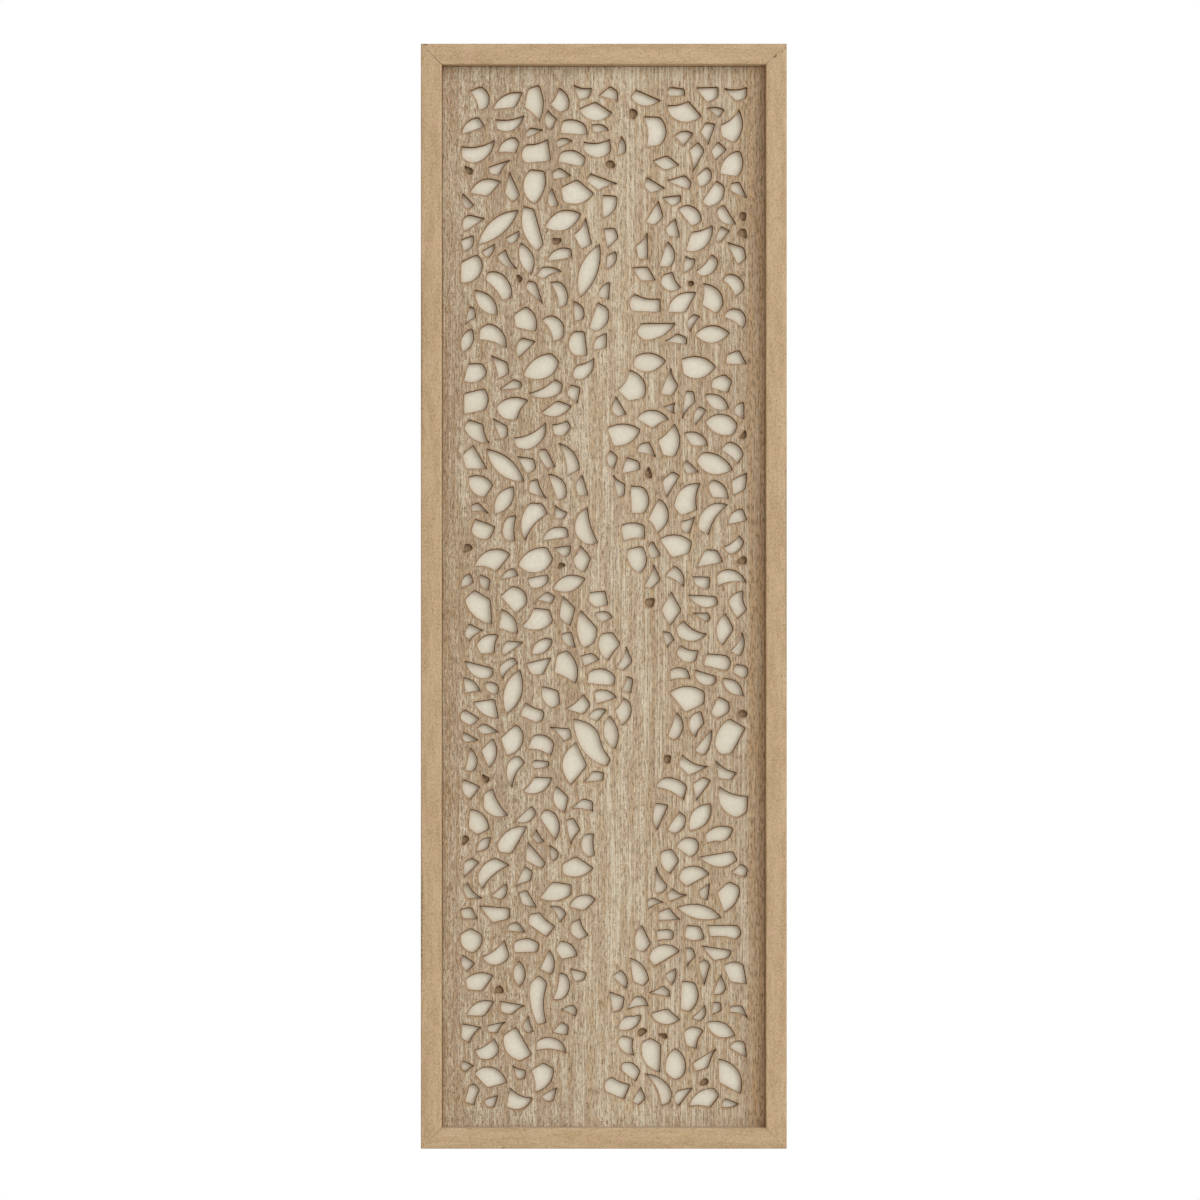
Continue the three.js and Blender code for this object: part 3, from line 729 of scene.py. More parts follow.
def bow(chain):
    """A smooth curve through a side's points, from corner to corner."""
    if len(chain) == 2:
        return chain
    steps = np.linalg.norm(np.diff(chain, axis=0), axis=1)
    reached = np.concatenate([[0], np.cumsum(steps)])
    slopes = np.gradient(chain, reached, axis=0, edge_order=2)
    pieces = []
    for number, step in enumerate(steps):
        t = np.linspace(0, 1, 12, endpoint=False)[:, None]
        pieces.append((1 + 2 * t) * (1 - t) ** 2 * chain[number]
                      + t * t * (3 - 2 * t) * chain[number + 1]
                      + t * (1 - t) ** 2 * step * slopes[number]
                      - t * t * (1 - t) * step * slopes[number + 1])
    return np.vstack([*pieces, chain[-1:]])


def sides_of(loop):
    """The loop cut at its sharp corners: the points of each side, ends included."""
    into = loop - np.roll(loop, 1, axis=0)
    out = np.roll(loop, -1, axis=0) - loop
    cross = into[:, 0] * out[:, 1] - into[:, 1] * out[:, 0]
    turn = np.abs(np.arctan2(cross, np.sum(into * out, axis=1)))
    corners = list(np.nonzero(turn > CORNER_TURN)[0])
    if len(corners) < 2:
        corners = list(np.argsort(-turn)[:2])
        corners.sort()
    sides = []
    for start, end in zip(corners, corners[1:] + [corners[0] + len(loop)]):
        sides.append(np.array([loop[i % len(loop)] for i in range(start, end + 1)]))
    return sides


def corner_round(side, following):
    """How far before and after the corner between two sides its round begins and ends."""
    into = side[-1] - side[-2]
    out = following[1] - following[0]
    turn = abs(math.degrees(math.atan2(into[0] * out[1] - into[1] * out[0], into @ out)))
    return float(np.interp(turn, *ROUND_BY_TURN))


def smooth_outline(loop, least_round=0.0, most_share=0.3):
    """An opening's outline: bowed sides joined by rounds, which take up a share of each side."""
    sides = [bow(side) for side in sides_of(loop)]
    lengths = [along(side, [0])[1] for side in sides]
    rounds = [max(least_round, corner_round(side, sides[(index + 1) % len(sides)]))
              for index, side in enumerate(sides)]
    outline = []
    for index, side in enumerate(sides):
        after = (index + 1) % len(sides)
        first = min(rounds[index - 1], most_share * lengths[index])
        last = lengths[index] - min(rounds[index], most_share * lengths[index])
        step = (1.6 if len(side) > 2 else 6) * MM
        marks_along = np.linspace(first, last, max(2, math.ceil((last - first) / step) + 1))
        flank, _ = along(side, marks_along)
        outline.extend(flank)
        end, _ = along(sides[after], [min(rounds[index], most_share * lengths[after])])
        for t in (0.25, 0.5, 0.75):
            outline.append((1 - t) ** 2 * flank[-1] + 2 * t * (1 - t) * side[-1] + t * t * end[0])
    return np.array(outline)


def girth(outline):
    """The length once round a closed outline."""
    return along(np.vstack([outline, outline[:1]]), [0])[1]


outlines = [smooth_outline(loop) for loop in corner_loops]
tiny_ones = [index for index, outline in enumerate(outlines) if girth(outline) < TINY_GIRTH]
for index in tiny_ones:
    outlines[index] = smooth_outline(corner_loops[index], 3 * MM, 0.46)
print(sum(len(outline) for outline in outlines), "points on", len(outlines), "outlines, of which",
      len(tiny_ones), "are tiny")

# %% [markdown]
# The webs between the openings are of every width, and each limits how wide a rubbed band
# fits beside it: two bands have to fit side by side. So every point of every outline is given
# its own band, and a running mean along the outline keeps it from jumping.

# %% Measure the webs and give each point its band
WIDEST_BAND = 2.6 * MM


def rubbed_bands(loops):
    """For each outline, how wide the rubbed band is at each of its points, and the least web."""
    points = np.vstack(loops)
    owner = np.concatenate([np.full(len(loop), i) for i, loop in enumerate(loops)])
    bands = []
    least = 1.0
    for index, loop in enumerate(loops):
        near = np.abs(points - loop.mean(axis=0)).max(axis=1) < 50 * MM
        near &= owner != index
        webs = np.linalg.norm(points[near][None] - loop[:, None], axis=2).min(axis=1)
        least = min(least, float(webs.min()))
        room = np.minimum(0.43 * webs, WIDEST_BAND)
        calm = np.mean([np.roll(room, shift) for shift in (-2, -1, 0, 1, 2)], axis=0)
        bands.append(np.minimum(room, calm))
    return bands, least


bands, web = rubbed_bands(outlines)
print("thinnest web:", round(web / MM, 2), "mm; rubbed bands:",
      round(min(band.min() for band in bands) / MM, 2), "to", round(WIDEST_BAND / MM, 2), "mm")

# %% [markdown]
# ## A sawn board with Geometry Nodes
# The outlines become one curve object, and a node tree turns it into the board. A boolean
# would cut hundreds of holes too, slowly and with ragged shading. Sweeping is cleaner: the
# edge's own section (rubbed band, rounded arris, sawn wall) runs round every outline, the
# field between is filled, and so is the back. Everything is drawn flat and stood up last.
#
# The first part of the tree is the section. Its six points hold no places yet, only rules: a
# share of the band that belongs to the outline's point, a distance into the wood, and a depth.

# %% Geometry Nodes: inputs and the edge's section
def new_geometry_tree(name, inputs):
    """A modifier tree with a geometry in and out and the named inputs between."""
    tree = bpy.data.node_groups.new(name, "GeometryNodeTree")
    tree.is_modifier = True
    tree.interface.new_socket("Geometry", in_out="INPUT", socket_type="NodeSocketGeometry")
    for title, kind, value in inputs:
        socket = tree.interface.new_socket(title, in_out="INPUT", socket_type=kind)
        if value is not None:
            socket.default_value = value
    tree.interface.new_socket("Geometry", in_out="OUTPUT", socket_type="NodeSocketGeometry")
    return tree, tree.nodes.new("NodeGroupInput").outputs


def point_by_number(tree, places):
    """A field: the first place for the first point, and so on, each of two or three numbers."""
    switch = add(tree, "GeometryNodeIndexSwitch", {"data_type": "VECTOR"})
    while len(switch.index_switch_items) < len(places):
        switch.index_switch_items.new()
    put(tree, switch.inputs["Index"], tree.nodes.new("GeometryNodeInputIndex").outputs[0])
    for number, numbers in enumerate(places):
        place = add(tree, "ShaderNodeCombineXYZ", **dict(zip("XYZ", numbers)))
        put(tree, switch.inputs[number + 1], place.outputs[0])
    return switch.outputs[0]


def keep(tree, geometry, name, kind, value, on="POINT"):
    """The geometry with a value kept on each point, or each face, under a name."""
    node = add(tree, "GeometryNodeStoreNamedAttribute", {"data_type": kind, "domain": on},
               Geometry=geometry, Name=name, Value=value)
    return node.outputs[0]


def kept(tree, name, kind):
    """What was kept under that name."""
    return add(tree, "GeometryNodeInputNamedAttribute", {"data_type": kind}, Name=name).outputs[0]


def edge_section(tree, arris, thickness):
    """The section of the board's edge, from the rubbed band's far side to the back."""
    corner = sum_of(tree, "MULTIPLY", arris, 0.29)
    rules = [  # share of the band, distance into the wood, depth
        (1.0, 0.0, 0.0), (0.4, 0.0, 0.0), (0.0, arris, 0.0), (0.0, corner, corner),
        (0.0, 0.0, arris), (0.0, 0.0, thickness),
    ]
    rub_levels = [(0.0, 0.0), (0.62, 0.0), (1.0, 0.0), (1.0, 0.0), (1.0, 0.0), (1.0, 0.0)]
    line = add(tree, "GeometryNodeCurvePrimitiveLine")
    points = add(tree, "GeometryNodeResampleCurve", Curve=line.outputs[0], Count=len(rules))
    ruled = keep(tree, points.outputs[0], "rule", "FLOAT_VECTOR", point_by_number(tree, rules))
    level = add(tree, "ShaderNodeSeparateXYZ", Vector=point_by_number(tree, rub_levels))
    return keep(tree, ruled, "rub", "FLOAT", level.outputs["X"])


print("the section has a rubbed band, an arris and a wall")

# %% [markdown]
# The second part sweeps the section round the outlines. Each outline keeps its own points,
# the way into the wood and the width of its band (the curve's radius), and the swept mesh
# reads them back to work out every place. Curves drawn against the clock have their normals
# pointing out of the opening, which is the way into the wood. The tiniest openings become
# pockets with a brown floor near the back and darker walls: painted shade, standing for the
# shade inside narrow openings.

# %% Geometry Nodes: sweep the section round each opening
POCKET_SHARE = 0.82  # of the board's thickness


def is_tiny(tree):
    """A field: 1 on the tiniest openings, 0 on the others."""
    girth = tree.nodes.new("GeometryNodeSplineLength").outputs["Length"]
    return sum_of(tree, "LESS_THAN", girth, TINY_GIRTH)


def openings_where(tree, openings, unwanted):
    """The outlines that are left once the unwanted ones are taken away."""
    node = add(tree, "GeometryNodeDeleteGeometry", {"domain": "CURVE"}, Geometry=openings,
               Selection=unwanted)
    return node.outputs[0]


def swept_edges(tree, openings, section):
    """The edge of every opening: rubbed band, arris and sawn wall."""
    normal = tree.nodes.new("GeometryNodeInputNormal").outputs[0]
    place = tree.nodes.new("GeometryNodeInputPosition").outputs[0]
    radius = tree.nodes.new("GeometryNodeInputRadius").outputs[0]
    marked = keep(tree, openings, "edge_place", "FLOAT_VECTOR", place)
    marked = keep(tree, marked, "into_wood", "FLOAT_VECTOR", normal)
    marked = keep(tree, marked, "band", "FLOAT", radius)
    marked = keep(tree, marked, "is_pocket", "FLOAT", is_tiny(tree))
    swept = add(tree, "GeometryNodeCurveToMesh", Curve=marked, Profile_Curve=section, Scale=0.01)
    pocket = kept(tree, "is_pocket", "FLOAT")

    rule = add(tree, "ShaderNodeSeparateXYZ", Vector=kept(tree, "rule", "FLOAT_VECTOR")).outputs
    inwards = sum_of(tree, "MULTIPLY_ADD", rule["X"], kept(tree, "band", "FLOAT"), rule["Y"])
    step = add(tree, "ShaderNodeVectorMath", {"operation": "SCALE"}, Scale=inwards,
               i0=kept(tree, "into_wood", "FLOAT_VECTOR")).outputs[0]
    share = sum_of(tree, "MULTIPLY_ADD", pocket, 1 - POCKET_SHARE, -1.0)
    down = add(tree, "ShaderNodeCombineXYZ",
               Z=sum_of(tree, "MULTIPLY", rule["Z"], share)).outputs[0]
    beside = add(tree, "ShaderNodeVectorMath", {"operation": "ADD"}, i0=step,
                 i1=kept(tree, "edge_place", "FLOAT_VECTOR")).outputs[0]
    final = add(tree, "ShaderNodeVectorMath", {"operation": "ADD"}, i0=beside, i1=down).outputs[0]
    placed = add(tree, "GeometryNodeSetPosition", Geometry=swept.outputs[0], Position=final)
    told = keep(tree, placed.outputs[0], "tiny", "FLOAT", pocket, "FACE")
    return add(tree, "GeometryNodeFlipFaces", Mesh=told)


print("the edge runs round every opening by rule")

# %% [markdown]
# The third part fills the face and the back between the swept edges, lays the floors of the
# pockets, closes the board's own outer edge, sews everything together and stands it up.

# %% Geometry Nodes: fill and stand up
def sawn_board_tree():
    tree, given = new_geometry_tree("sawn_board", [
        ("Board Width", "NodeSocketFloat", 0.28), ("Board Height", "NodeSocketFloat", 0.88),
        ("Thickness", "NodeSocketFloat", 0.005), ("Arris", "NodeSocketFloat", 0.0003),
        ("Face Middle", "NodeSocketVector", None), ("Veneer", "NodeSocketMaterial", None)])
    openings = given["Geometry"]
    section = edge_section(tree, given["Arris"], given["Thickness"])
    edges = swept_edges(tree, openings, section)

    rim = add(tree, "GeometryNodeCurvePrimitiveQuadrilateral", Width=given["Board Width"],
              Height=given["Board Height"]).outputs[0]
    outward = add(tree, "ShaderNodeVectorMath", {"operation": "SCALE"},
                  i0=tree.nodes.new("GeometryNodeInputNormal").outputs[0],
                  Scale=tree.nodes.new("GeometryNodeInputRadius").outputs[0])
    widened = add(tree, "GeometryNodeSetPosition", Geometry=openings, Offset=outward.outputs[0])
    face_lines = add(tree, "GeometryNodeJoinGeometry")
    put(tree, face_lines.inputs[0], rim)
    put(tree, face_lines.inputs[0], widened.outputs[0])
    face = add(tree, "GeometryNodeFillCurve", Curve=face_lines.outputs[0])

    def laid(lines, share):
        """The lines filled with a floor, this share of the board's thickness down."""
        filled = add(tree, "GeometryNodeFillCurve", Curve=lines)
        depth = sum_of(tree, "MULTIPLY", given["Thickness"], -share)
        down = add(tree, "ShaderNodeCombineXYZ", Z=depth)
        return add(tree, "GeometryNodeTransform", Geometry=filled.outputs[0],
                   Translation=down.outputs[0]).outputs[0]

    not_tiny = sum_of(tree, "SUBTRACT", 1.0, is_tiny(tree))
    # Painted shade: brown floors close the tiniest openings near the back.
    floors = laid(openings_where(tree, openings, not_tiny), POCKET_SHARE)
    shade_brown_floors = keep(tree, floors, "tiny", "FLOAT", 1.0, "FACE")
    back_lines = add(tree, "GeometryNodeJoinGeometry")
    put(tree, back_lines.inputs[0], rim)
    put(tree, back_lines.inputs[0], openings_where(tree, openings, is_tiny(tree)))
    back = add(tree, "GeometryNodeFlipFaces", Mesh=laid(back_lines.outputs[0], 1.0))

    drop = add(tree, "GeometryNodeCurvePrimitiveLine")
    put(tree, drop.inputs["Start"], (0.0, 0.0, 0.0))
    drop_end = add(tree, "ShaderNodeCombineXYZ", Y=given["Thickness"])
    put(tree, drop.inputs["End"], drop_end.outputs[0])
    outer = add(tree, "GeometryNodeCurveToMesh", Curve=rim, Profile_Curve=drop.outputs[0])

    whole = add(tree, "GeometryNodeJoinGeometry")
    for part in (edges, face, back, outer):
        put(tree, whole.inputs[0], part.outputs[0])
    put(tree, whole.inputs[0], shade_brown_floors)
    sewn = add(tree, "GeometryNodeMergeByDistance", Geometry=whole.outputs[0], Distance=2e-6)
    upright = add(tree, "GeometryNodeTransform", Geometry=sewn.outputs[0],
                  Translation=given["Face Middle"], Rotation=(math.pi / 2, 0, 0))
    real = add(tree, "GeometryNodeRealizeInstances", Geometry=upright.outputs[0])
    finished = add(tree, "GeometryNodeSetMaterial", Geometry=real.outputs[0],
                   Material=given["Veneer"])
    out = tree.nodes.new("NodeGroupOutput")
    tree.links.new(finished.outputs[0], out.inputs[0])
    return tree


BOARD_TREE = sawn_board_tree()
print("tree:", BOARD_TREE.name, len(BOARD_TREE.nodes), "nodes")

# %% [markdown]
# ## Running a node tree
# A modifier runs the tree on an object. Its inputs are set by the socket's identifier before
# anything looks at the result. The evaluated object then gives a plain mesh, the modifier
# goes, and the shading is set: soft within a rounded arris, crisp across a real edge.

# %% Helper: run a tree and keep the mesh
def set_input(modifier, title, value):
    for socket in modifier.node_group.interface.items_tree:
        if socket.name == title and socket.in_out == "INPUT":
            modifier[socket.identifier] = value


def made_by(tree, source, name, crisp_angle=40, **inputs):
    """The mesh object that the tree makes from the source object with these inputs."""
    modifier = source.modifiers.new("maker", "NODES")
    modifier.node_group = tree
    for title, value in inputs.items():
        set_input(modifier, title.replace("_", " "), value)
    evaluated = source.evaluated_get(bpy.context.evaluated_depsgraph_get())
    mesh = bpy.data.meshes.new_from_object(evaluated)
    source.modifiers.remove(modifier)
    bpy.data.objects.remove(source)
    mesh.name = name
    mesh.shade_smooth()
    mesh.set_sharp_from_angle(angle=math.radians(crisp_angle))
    made = bpy.data.objects.new(name, mesh)
    bpy.context.scene.collection.objects.link(made)
    return made


def check_closed(piece):
    """Counts open edges and says which way the faces look, by the volume they enclose."""
    work = bmesh.new()
    work.from_mesh(piece.data)
    open_edges = sum(1 for edge in work.edges if len(edge.link_faces) != 2)
    volume = work.calc_volume(signed=True)
    triangles = sum(len(face.verts) - 2 for face in work.faces)
    work.free()
    print(piece.name + ":", triangles, "triangles,", open_edges, "open edges,",
          round(volume * 1e6, 3), "cm3")
    return open_edges, volume


print("ready to run trees")

# %% [markdown]
# ## Piece 1: the fretwork board
# One closed curve for each outline, all in one curve object, laid flat round the board's
# middle. The tree does the rest.

# %% Make the fretwork board
board_middle = (board_low + board_high) / 2


def outline_curves(loops, bands):
    """A curve object with one closed line for each outline, drawn flat, its band as radius."""
    curve = bpy.data.curves.new("opening_outlines", "CURVE")
    curve.dimensions = "3D"
    for loop, band in zip(loops, bands):
        line = curve.splines.new("POLY")
        line.points.add(len(loop) - 1)
        flat = np.zeros((len(loop), 4))
        flat[:, 0] = loop[:, 0] - board_middle.x
        flat[:, 1] = loop[:, 1] - board_middle.z
        flat[:, 3] = 1
        line.points.foreach_set("co", flat.ravel())
        line.points.foreach_set("radius", band)
        line.use_cyclic_u = True
    piece = bpy.data.objects.new("opening_outlines", curve)
    bpy.context.scene.collection.objects.link(piece)
    return piece


fretwork = made_by(
    BOARD_TREE, outline_curves(outlines, bands), "fretwork_board",
    Board_Width=board_high.x - board_low.x, Board_Height=board_high.z - board_low.z,
    Thickness=board_thickness, Arris=0.35 * MM,
    Face_Middle=(board_middle.x, board_low.y, board_middle.z), Veneer=VENEER)
check_closed(fretwork)
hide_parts("fretwork_panel")
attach(fretwork, "root")

# %% [markdown]
# ## A mitred rail with Geometry Nodes
# All four rails share one section: an L with rounded front edges and a rebate behind. A
# maker planes it in one long length, then saws the mitres, and the tree works the same way.
# The section is swept along a straight line, then each end slides along the line by as much
# as the point lies in from the outer edge. Mitres never close perfectly, so each end has its
# own gap at the outer corner and its own opening towards the inner one.

# %% Geometry Nodes: the rail's section
def rail_section(tree, given):
    """The L-shaped section, across the rail and into its depth, with rounded corners."""
    land = sum_of(tree, "SUBTRACT", given["Rail Width"], given["Rebate"])
    corners = [
        (0.0, 0.0), (given["Rail Width"], 0.0), (given["Rail Width"], given["Recess"]),
        (land, given["Recess"]), (land, given["Rail Depth"]), (0.0, given["Rail Depth"]),
    ]
    circle = add(tree, "GeometryNodeMeshCircle", Vertices=len(corners))
    placed = add(tree, "GeometryNodeSetPosition", Geometry=circle.outputs[0],
                 Position=point_by_number(tree, corners))
    outline = add(tree, "GeometryNodeMeshToCurve", Mesh=placed.outputs[0])
    where = add(tree, "ShaderNodeSeparateXYZ",
                Vector=tree.nodes.new("GeometryNodeInputPosition").outputs[0])
    at_front = sum_of(tree, "LESS_THAN", where.outputs["Y"],
                      sum_of(tree, "MULTIPLY", given["Recess"], 0.5))
    more = sum_of(tree, "SUBTRACT", given["Front Round"], given["Sharp Round"])
    radius = sum_of(tree, "MULTIPLY_ADD", at_front, more, given["Sharp Round"])
    rounded = add(tree, "GeometryNodeFilletCurve", {"mode": "POLY"}, Curve=outline.outputs[0],
                  Count=5, Radius=radius)
    place = tree.nodes.new("GeometryNodeInputPosition").outputs[0]
    marked = add(tree, "GeometryNodeStoreNamedAttribute", {"data_type": "FLOAT_VECTOR"},
                 Geometry=rounded.outputs[0], Name="along_rail", Value=place)
    return marked.outputs[0]


def mitred_place(tree, given, across, way):
    """How far along the line a point of the mitre lies."""
    behind = sum_of(tree, "LESS_THAN", way, 0.0)
    share = sum_of(tree, "DIVIDE", across, given["Rail Width"])
    start = sum_of(tree, "MULTIPLY_ADD", share, given["Start Opening"], given["Start Gap"])
    end = sum_of(tree, "MULTIPLY_ADD", share, given["End Opening"], given["End Gap"])
    gap = sum_of(tree, "MULTIPLY_ADD", behind, sum_of(tree, "SUBTRACT", start, end), end)
    half = sum_of(tree, "MULTIPLY", given["Length"], 0.5)
    reach = sum_of(tree, "SUBTRACT", sum_of(tree, "SUBTRACT", half, across), gap)
    return sum_of(tree, "MULTIPLY", reach, sum_of(tree, "SIGN", way))


print("a rail's section and its mitre are rules now")

# %% [markdown]
# The point's own section place is kept in the attribute `along_rail`. After the sweep it is
# read back to set each point's final place, and the length along the rail is added to it for
# the grain. Then the rail turns about the middle of the frame to its own side.

# %% Geometry Nodes: the whole rail
def rail_tree():
    tree, given = new_geometry_tree("mitred_rail", [
        ("Length", "NodeSocketFloat", 0.9), ("Reach", "NodeSocketFloat", 0.15),
        ("Rail Width", "NodeSocketFloat", 0.017), ("Rail Depth", "NodeSocketFloat", 0.03),
        ("Recess", "NodeSocketFloat", 0.01), ("Rebate", "NodeSocketFloat", 0.007),
        ("Front Round", "NodeSocketFloat", 0.0012), ("Sharp Round", "NodeSocketFloat", 0.0004),
        ("Start Gap", "NodeSocketFloat", 0.0), ("Start Opening", "NodeSocketFloat", 0.0),
        ("End Gap", "NodeSocketFloat", 0.0), ("End Opening", "NodeSocketFloat", 0.0),
        ("Turn", "NodeSocketFloat", 0.0), ("Front Middle", "NodeSocketVector", None),
        ("Grain Start", "NodeSocketFloat", 0.0), ("Wood", "NodeSocketMaterial", None)])
    line = add(tree, "GeometryNodeCurvePrimitiveLine")
    put(tree, line.inputs["Start"], (-0.1, 0.0, 0.0))
    put(tree, line.inputs["End"], (0.1, 0.0, 0.0))
    swept = add(tree, "GeometryNodeCurveToMesh", Curve=line.outputs[0],
                Profile_Curve=rail_section(tree, given), Fill_Caps=True)

    held = add(tree, "GeometryNodeInputNamedAttribute", {"data_type": "FLOAT_VECTOR"},
               Name="along_rail")
    section = add(tree, "ShaderNodeSeparateXYZ", Vector=held.outputs[0]).outputs
    where = add(tree, "ShaderNodeSeparateXYZ",
                Vector=tree.nodes.new("GeometryNodeInputPosition").outputs[0]).outputs
    reach = sum_of(tree, "SUBTRACT", given["Reach"], section["X"])
    place = add(tree, "ShaderNodeCombineXYZ", Y=section["Y"], Z=reach,
                X=mitred_place(tree, given, section["X"], where["X"]))
    sawn = add(tree, "GeometryNodeSetPosition", Geometry=swept.outputs[0],
               Position=place.outputs[0])
    start = sum_of(tree, "ADD", where["X"], given["Grain Start"])
    fibre = add(tree, "ShaderNodeCombineXYZ", X=section["X"], Y=section["Y"], Z=start)
    marked = add(tree, "GeometryNodeStoreNamedAttribute", {"data_type": "FLOAT_VECTOR"},
                 Geometry=sawn.outputs[0], Name="along_rail", Value=fibre.outputs[0])
    angle = add(tree, "ShaderNodeCombineXYZ", Y=given["Turn"])
    turned = add(tree, "GeometryNodeTransform", Geometry=marked.outputs[0],
                 Translation=given["Front Middle"], Rotation=angle.outputs[0])
    sewn = add(tree, "GeometryNodeMergeByDistance", Geometry=turned.outputs[0], Distance=1e-6)
    real = add(tree, "GeometryNodeRealizeInstances", Geometry=sewn.outputs[0])
    finished = add(tree, "GeometryNodeSetMaterial", Geometry=real.outputs[0],
                   Material=given["Wood"])
    out = tree.nodes.new("NodeGroupOutput")
    tree.links.new(finished.outputs[0], out.inputs[0])
    return tree


RAIL_TREE = rail_tree()
print("tree:", RAIL_TREE.name, len(RAIL_TREE.nodes), "nodes")

# %% [markdown]
# ## Pieces 2 to 5: the four rails
# The upper left mitre has opened a little towards the inside; the others are nearly shut.
# Going round clockwise, each rail starts at the corner where the last one ended.

# %% Make the four rails
CORNER_GAPS = {  # width of the slit at the outer corner, and how much more at the inner one
    "top_left": (0.05 * MM, 0.38 * MM), "top_right": (0.05 * MM, 0.1 * MM),
    "bottom_right": (0.06 * MM, 0.12 * MM), "bottom_left": (0.06 * MM, 0.18 * MM),
}
RAILS = [  # node, its start and end corners, and the turn from the top in right angles
    ("frame_rail_top", "top_left", "top_right", 0),
    ("frame_rail_right", "top_right", "bottom_right", 1),
    ("frame_rail_bottom", "bottom_right", "bottom_left", 2),
    ("frame_rail_left", "bottom_left", "top_left", 3),
]


def make_rail(node, start, end, turns, wood):
    """One rail, from the shared tree, at its own side of the frame."""
    upright = turns % 2 == 1
    blank = bpy.data.objects.new("blank", bpy.data.meshes.new("blank"))
    bpy.context.scene.collection.objects.link(blank)
    slide = math.sqrt(0.5)
    piece = made_by(
        RAIL_TREE, blank, node.replace("frame_rail", "rail"), 40,
        Length=frame_height if upright else frame_width,
        Reach=(frame_width if upright else frame_height) / 2,
        Rail_Width=rail_width, Rail_Depth=rail_depth, Recess=recess_depth,
        Rebate=rebate_width, Front_Round=1.2 * MM, Sharp_Round=0.35 * MM,
        Start_Gap=slide * CORNER_GAPS[start][0], Start_Opening=slide * CORNER_GAPS[start][1],
        End_Gap=slide * CORNER_GAPS[end][0], End_Opening=slide * CORNER_GAPS[end][1],
        Turn=turns * math.pi / 2, Front_Middle=(0.0, front_y, frame_middle.z),
        Grain_Start=0.37 * (turns + 1), Wood=wood)
    check_closed(piece)
    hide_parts(node)
    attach(piece, "root")
    return piece


rails = [make_rail(*row, RAIL_WOOD) for row in RAILS]

# %% [markdown]
# ## Piece 6: the backing board
# It is a plain flat board, and CAD already has its shape right, so only its material
# changes. The paint shows through the openings, and the bare fibre at the back.

# %% Finish the backing board
backing = frame["nodes"]["backing_board"]
backing.material_slots[0].material = CREAM
print(backing.name, "gets", CREAM.name)

# %% [markdown]
# ## Piece 7: the sawtooth hanger
# The plate was stamped from thin sheet, so CAD's shape stays and only its edges change: a
# stamped edge is slightly rolled. The CAD mesh itself is never touched. A copy is merged, its
# flat triangles are joined into faces, and its sharp edges get a small bevel.

# %% Make the hanger with rolled edges
def softened_copy(node, name, roll, material):
    """A copy of a CAD node with a small bevel on its sharp edges."""
    work = bmesh.new()
    work.from_mesh(frame["nodes"][node].data)
    bmesh.ops.remove_doubles(work, verts=work.verts, dist=0.002 * MM)
    bmesh.ops.dissolve_limit(work, angle_limit=math.radians(1), verts=work.verts,
                             edges=work.edges)
    sharp = [edge for edge in work.edges
             if len(edge.link_faces) == 2 and edge.calc_face_angle() > math.radians(25)]
    bmesh.ops.bevel(work, geom=sharp, offset=roll, segments=2, profile=0.5, affect="EDGES",
                    clamp_overlap=True)
    mesh = bpy.data.meshes.new(name)
    work.to_mesh(mesh)
    work.free()
    mesh.shade_smooth()
    mesh.set_sharp_from_angle(angle=math.radians(50))
    mesh.materials.clear()
    mesh.materials.append(material)
    made = bpy.data.objects.new(name, mesh)
    bpy.context.scene.collection.objects.link(made)
    return made


hanger = softened_copy("hanger_plate", "sawtooth_hanger", 0.1 * MM, ZINC)
check_closed(hanger)
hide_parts("hanger_plate")
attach(hanger, "root")

# %% [markdown]
# ## Piece 8: the two nails
# A nail is round, so its outline from tip to head is swept round a circle. The two are
# alike, so the tree makes one and puts a copy on each of two points. Copies have to be made
# real at the end, because an exported model would lose them.

# %% Geometry Nodes: the nails
nail_low, nail_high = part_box("hanger_nail_left")


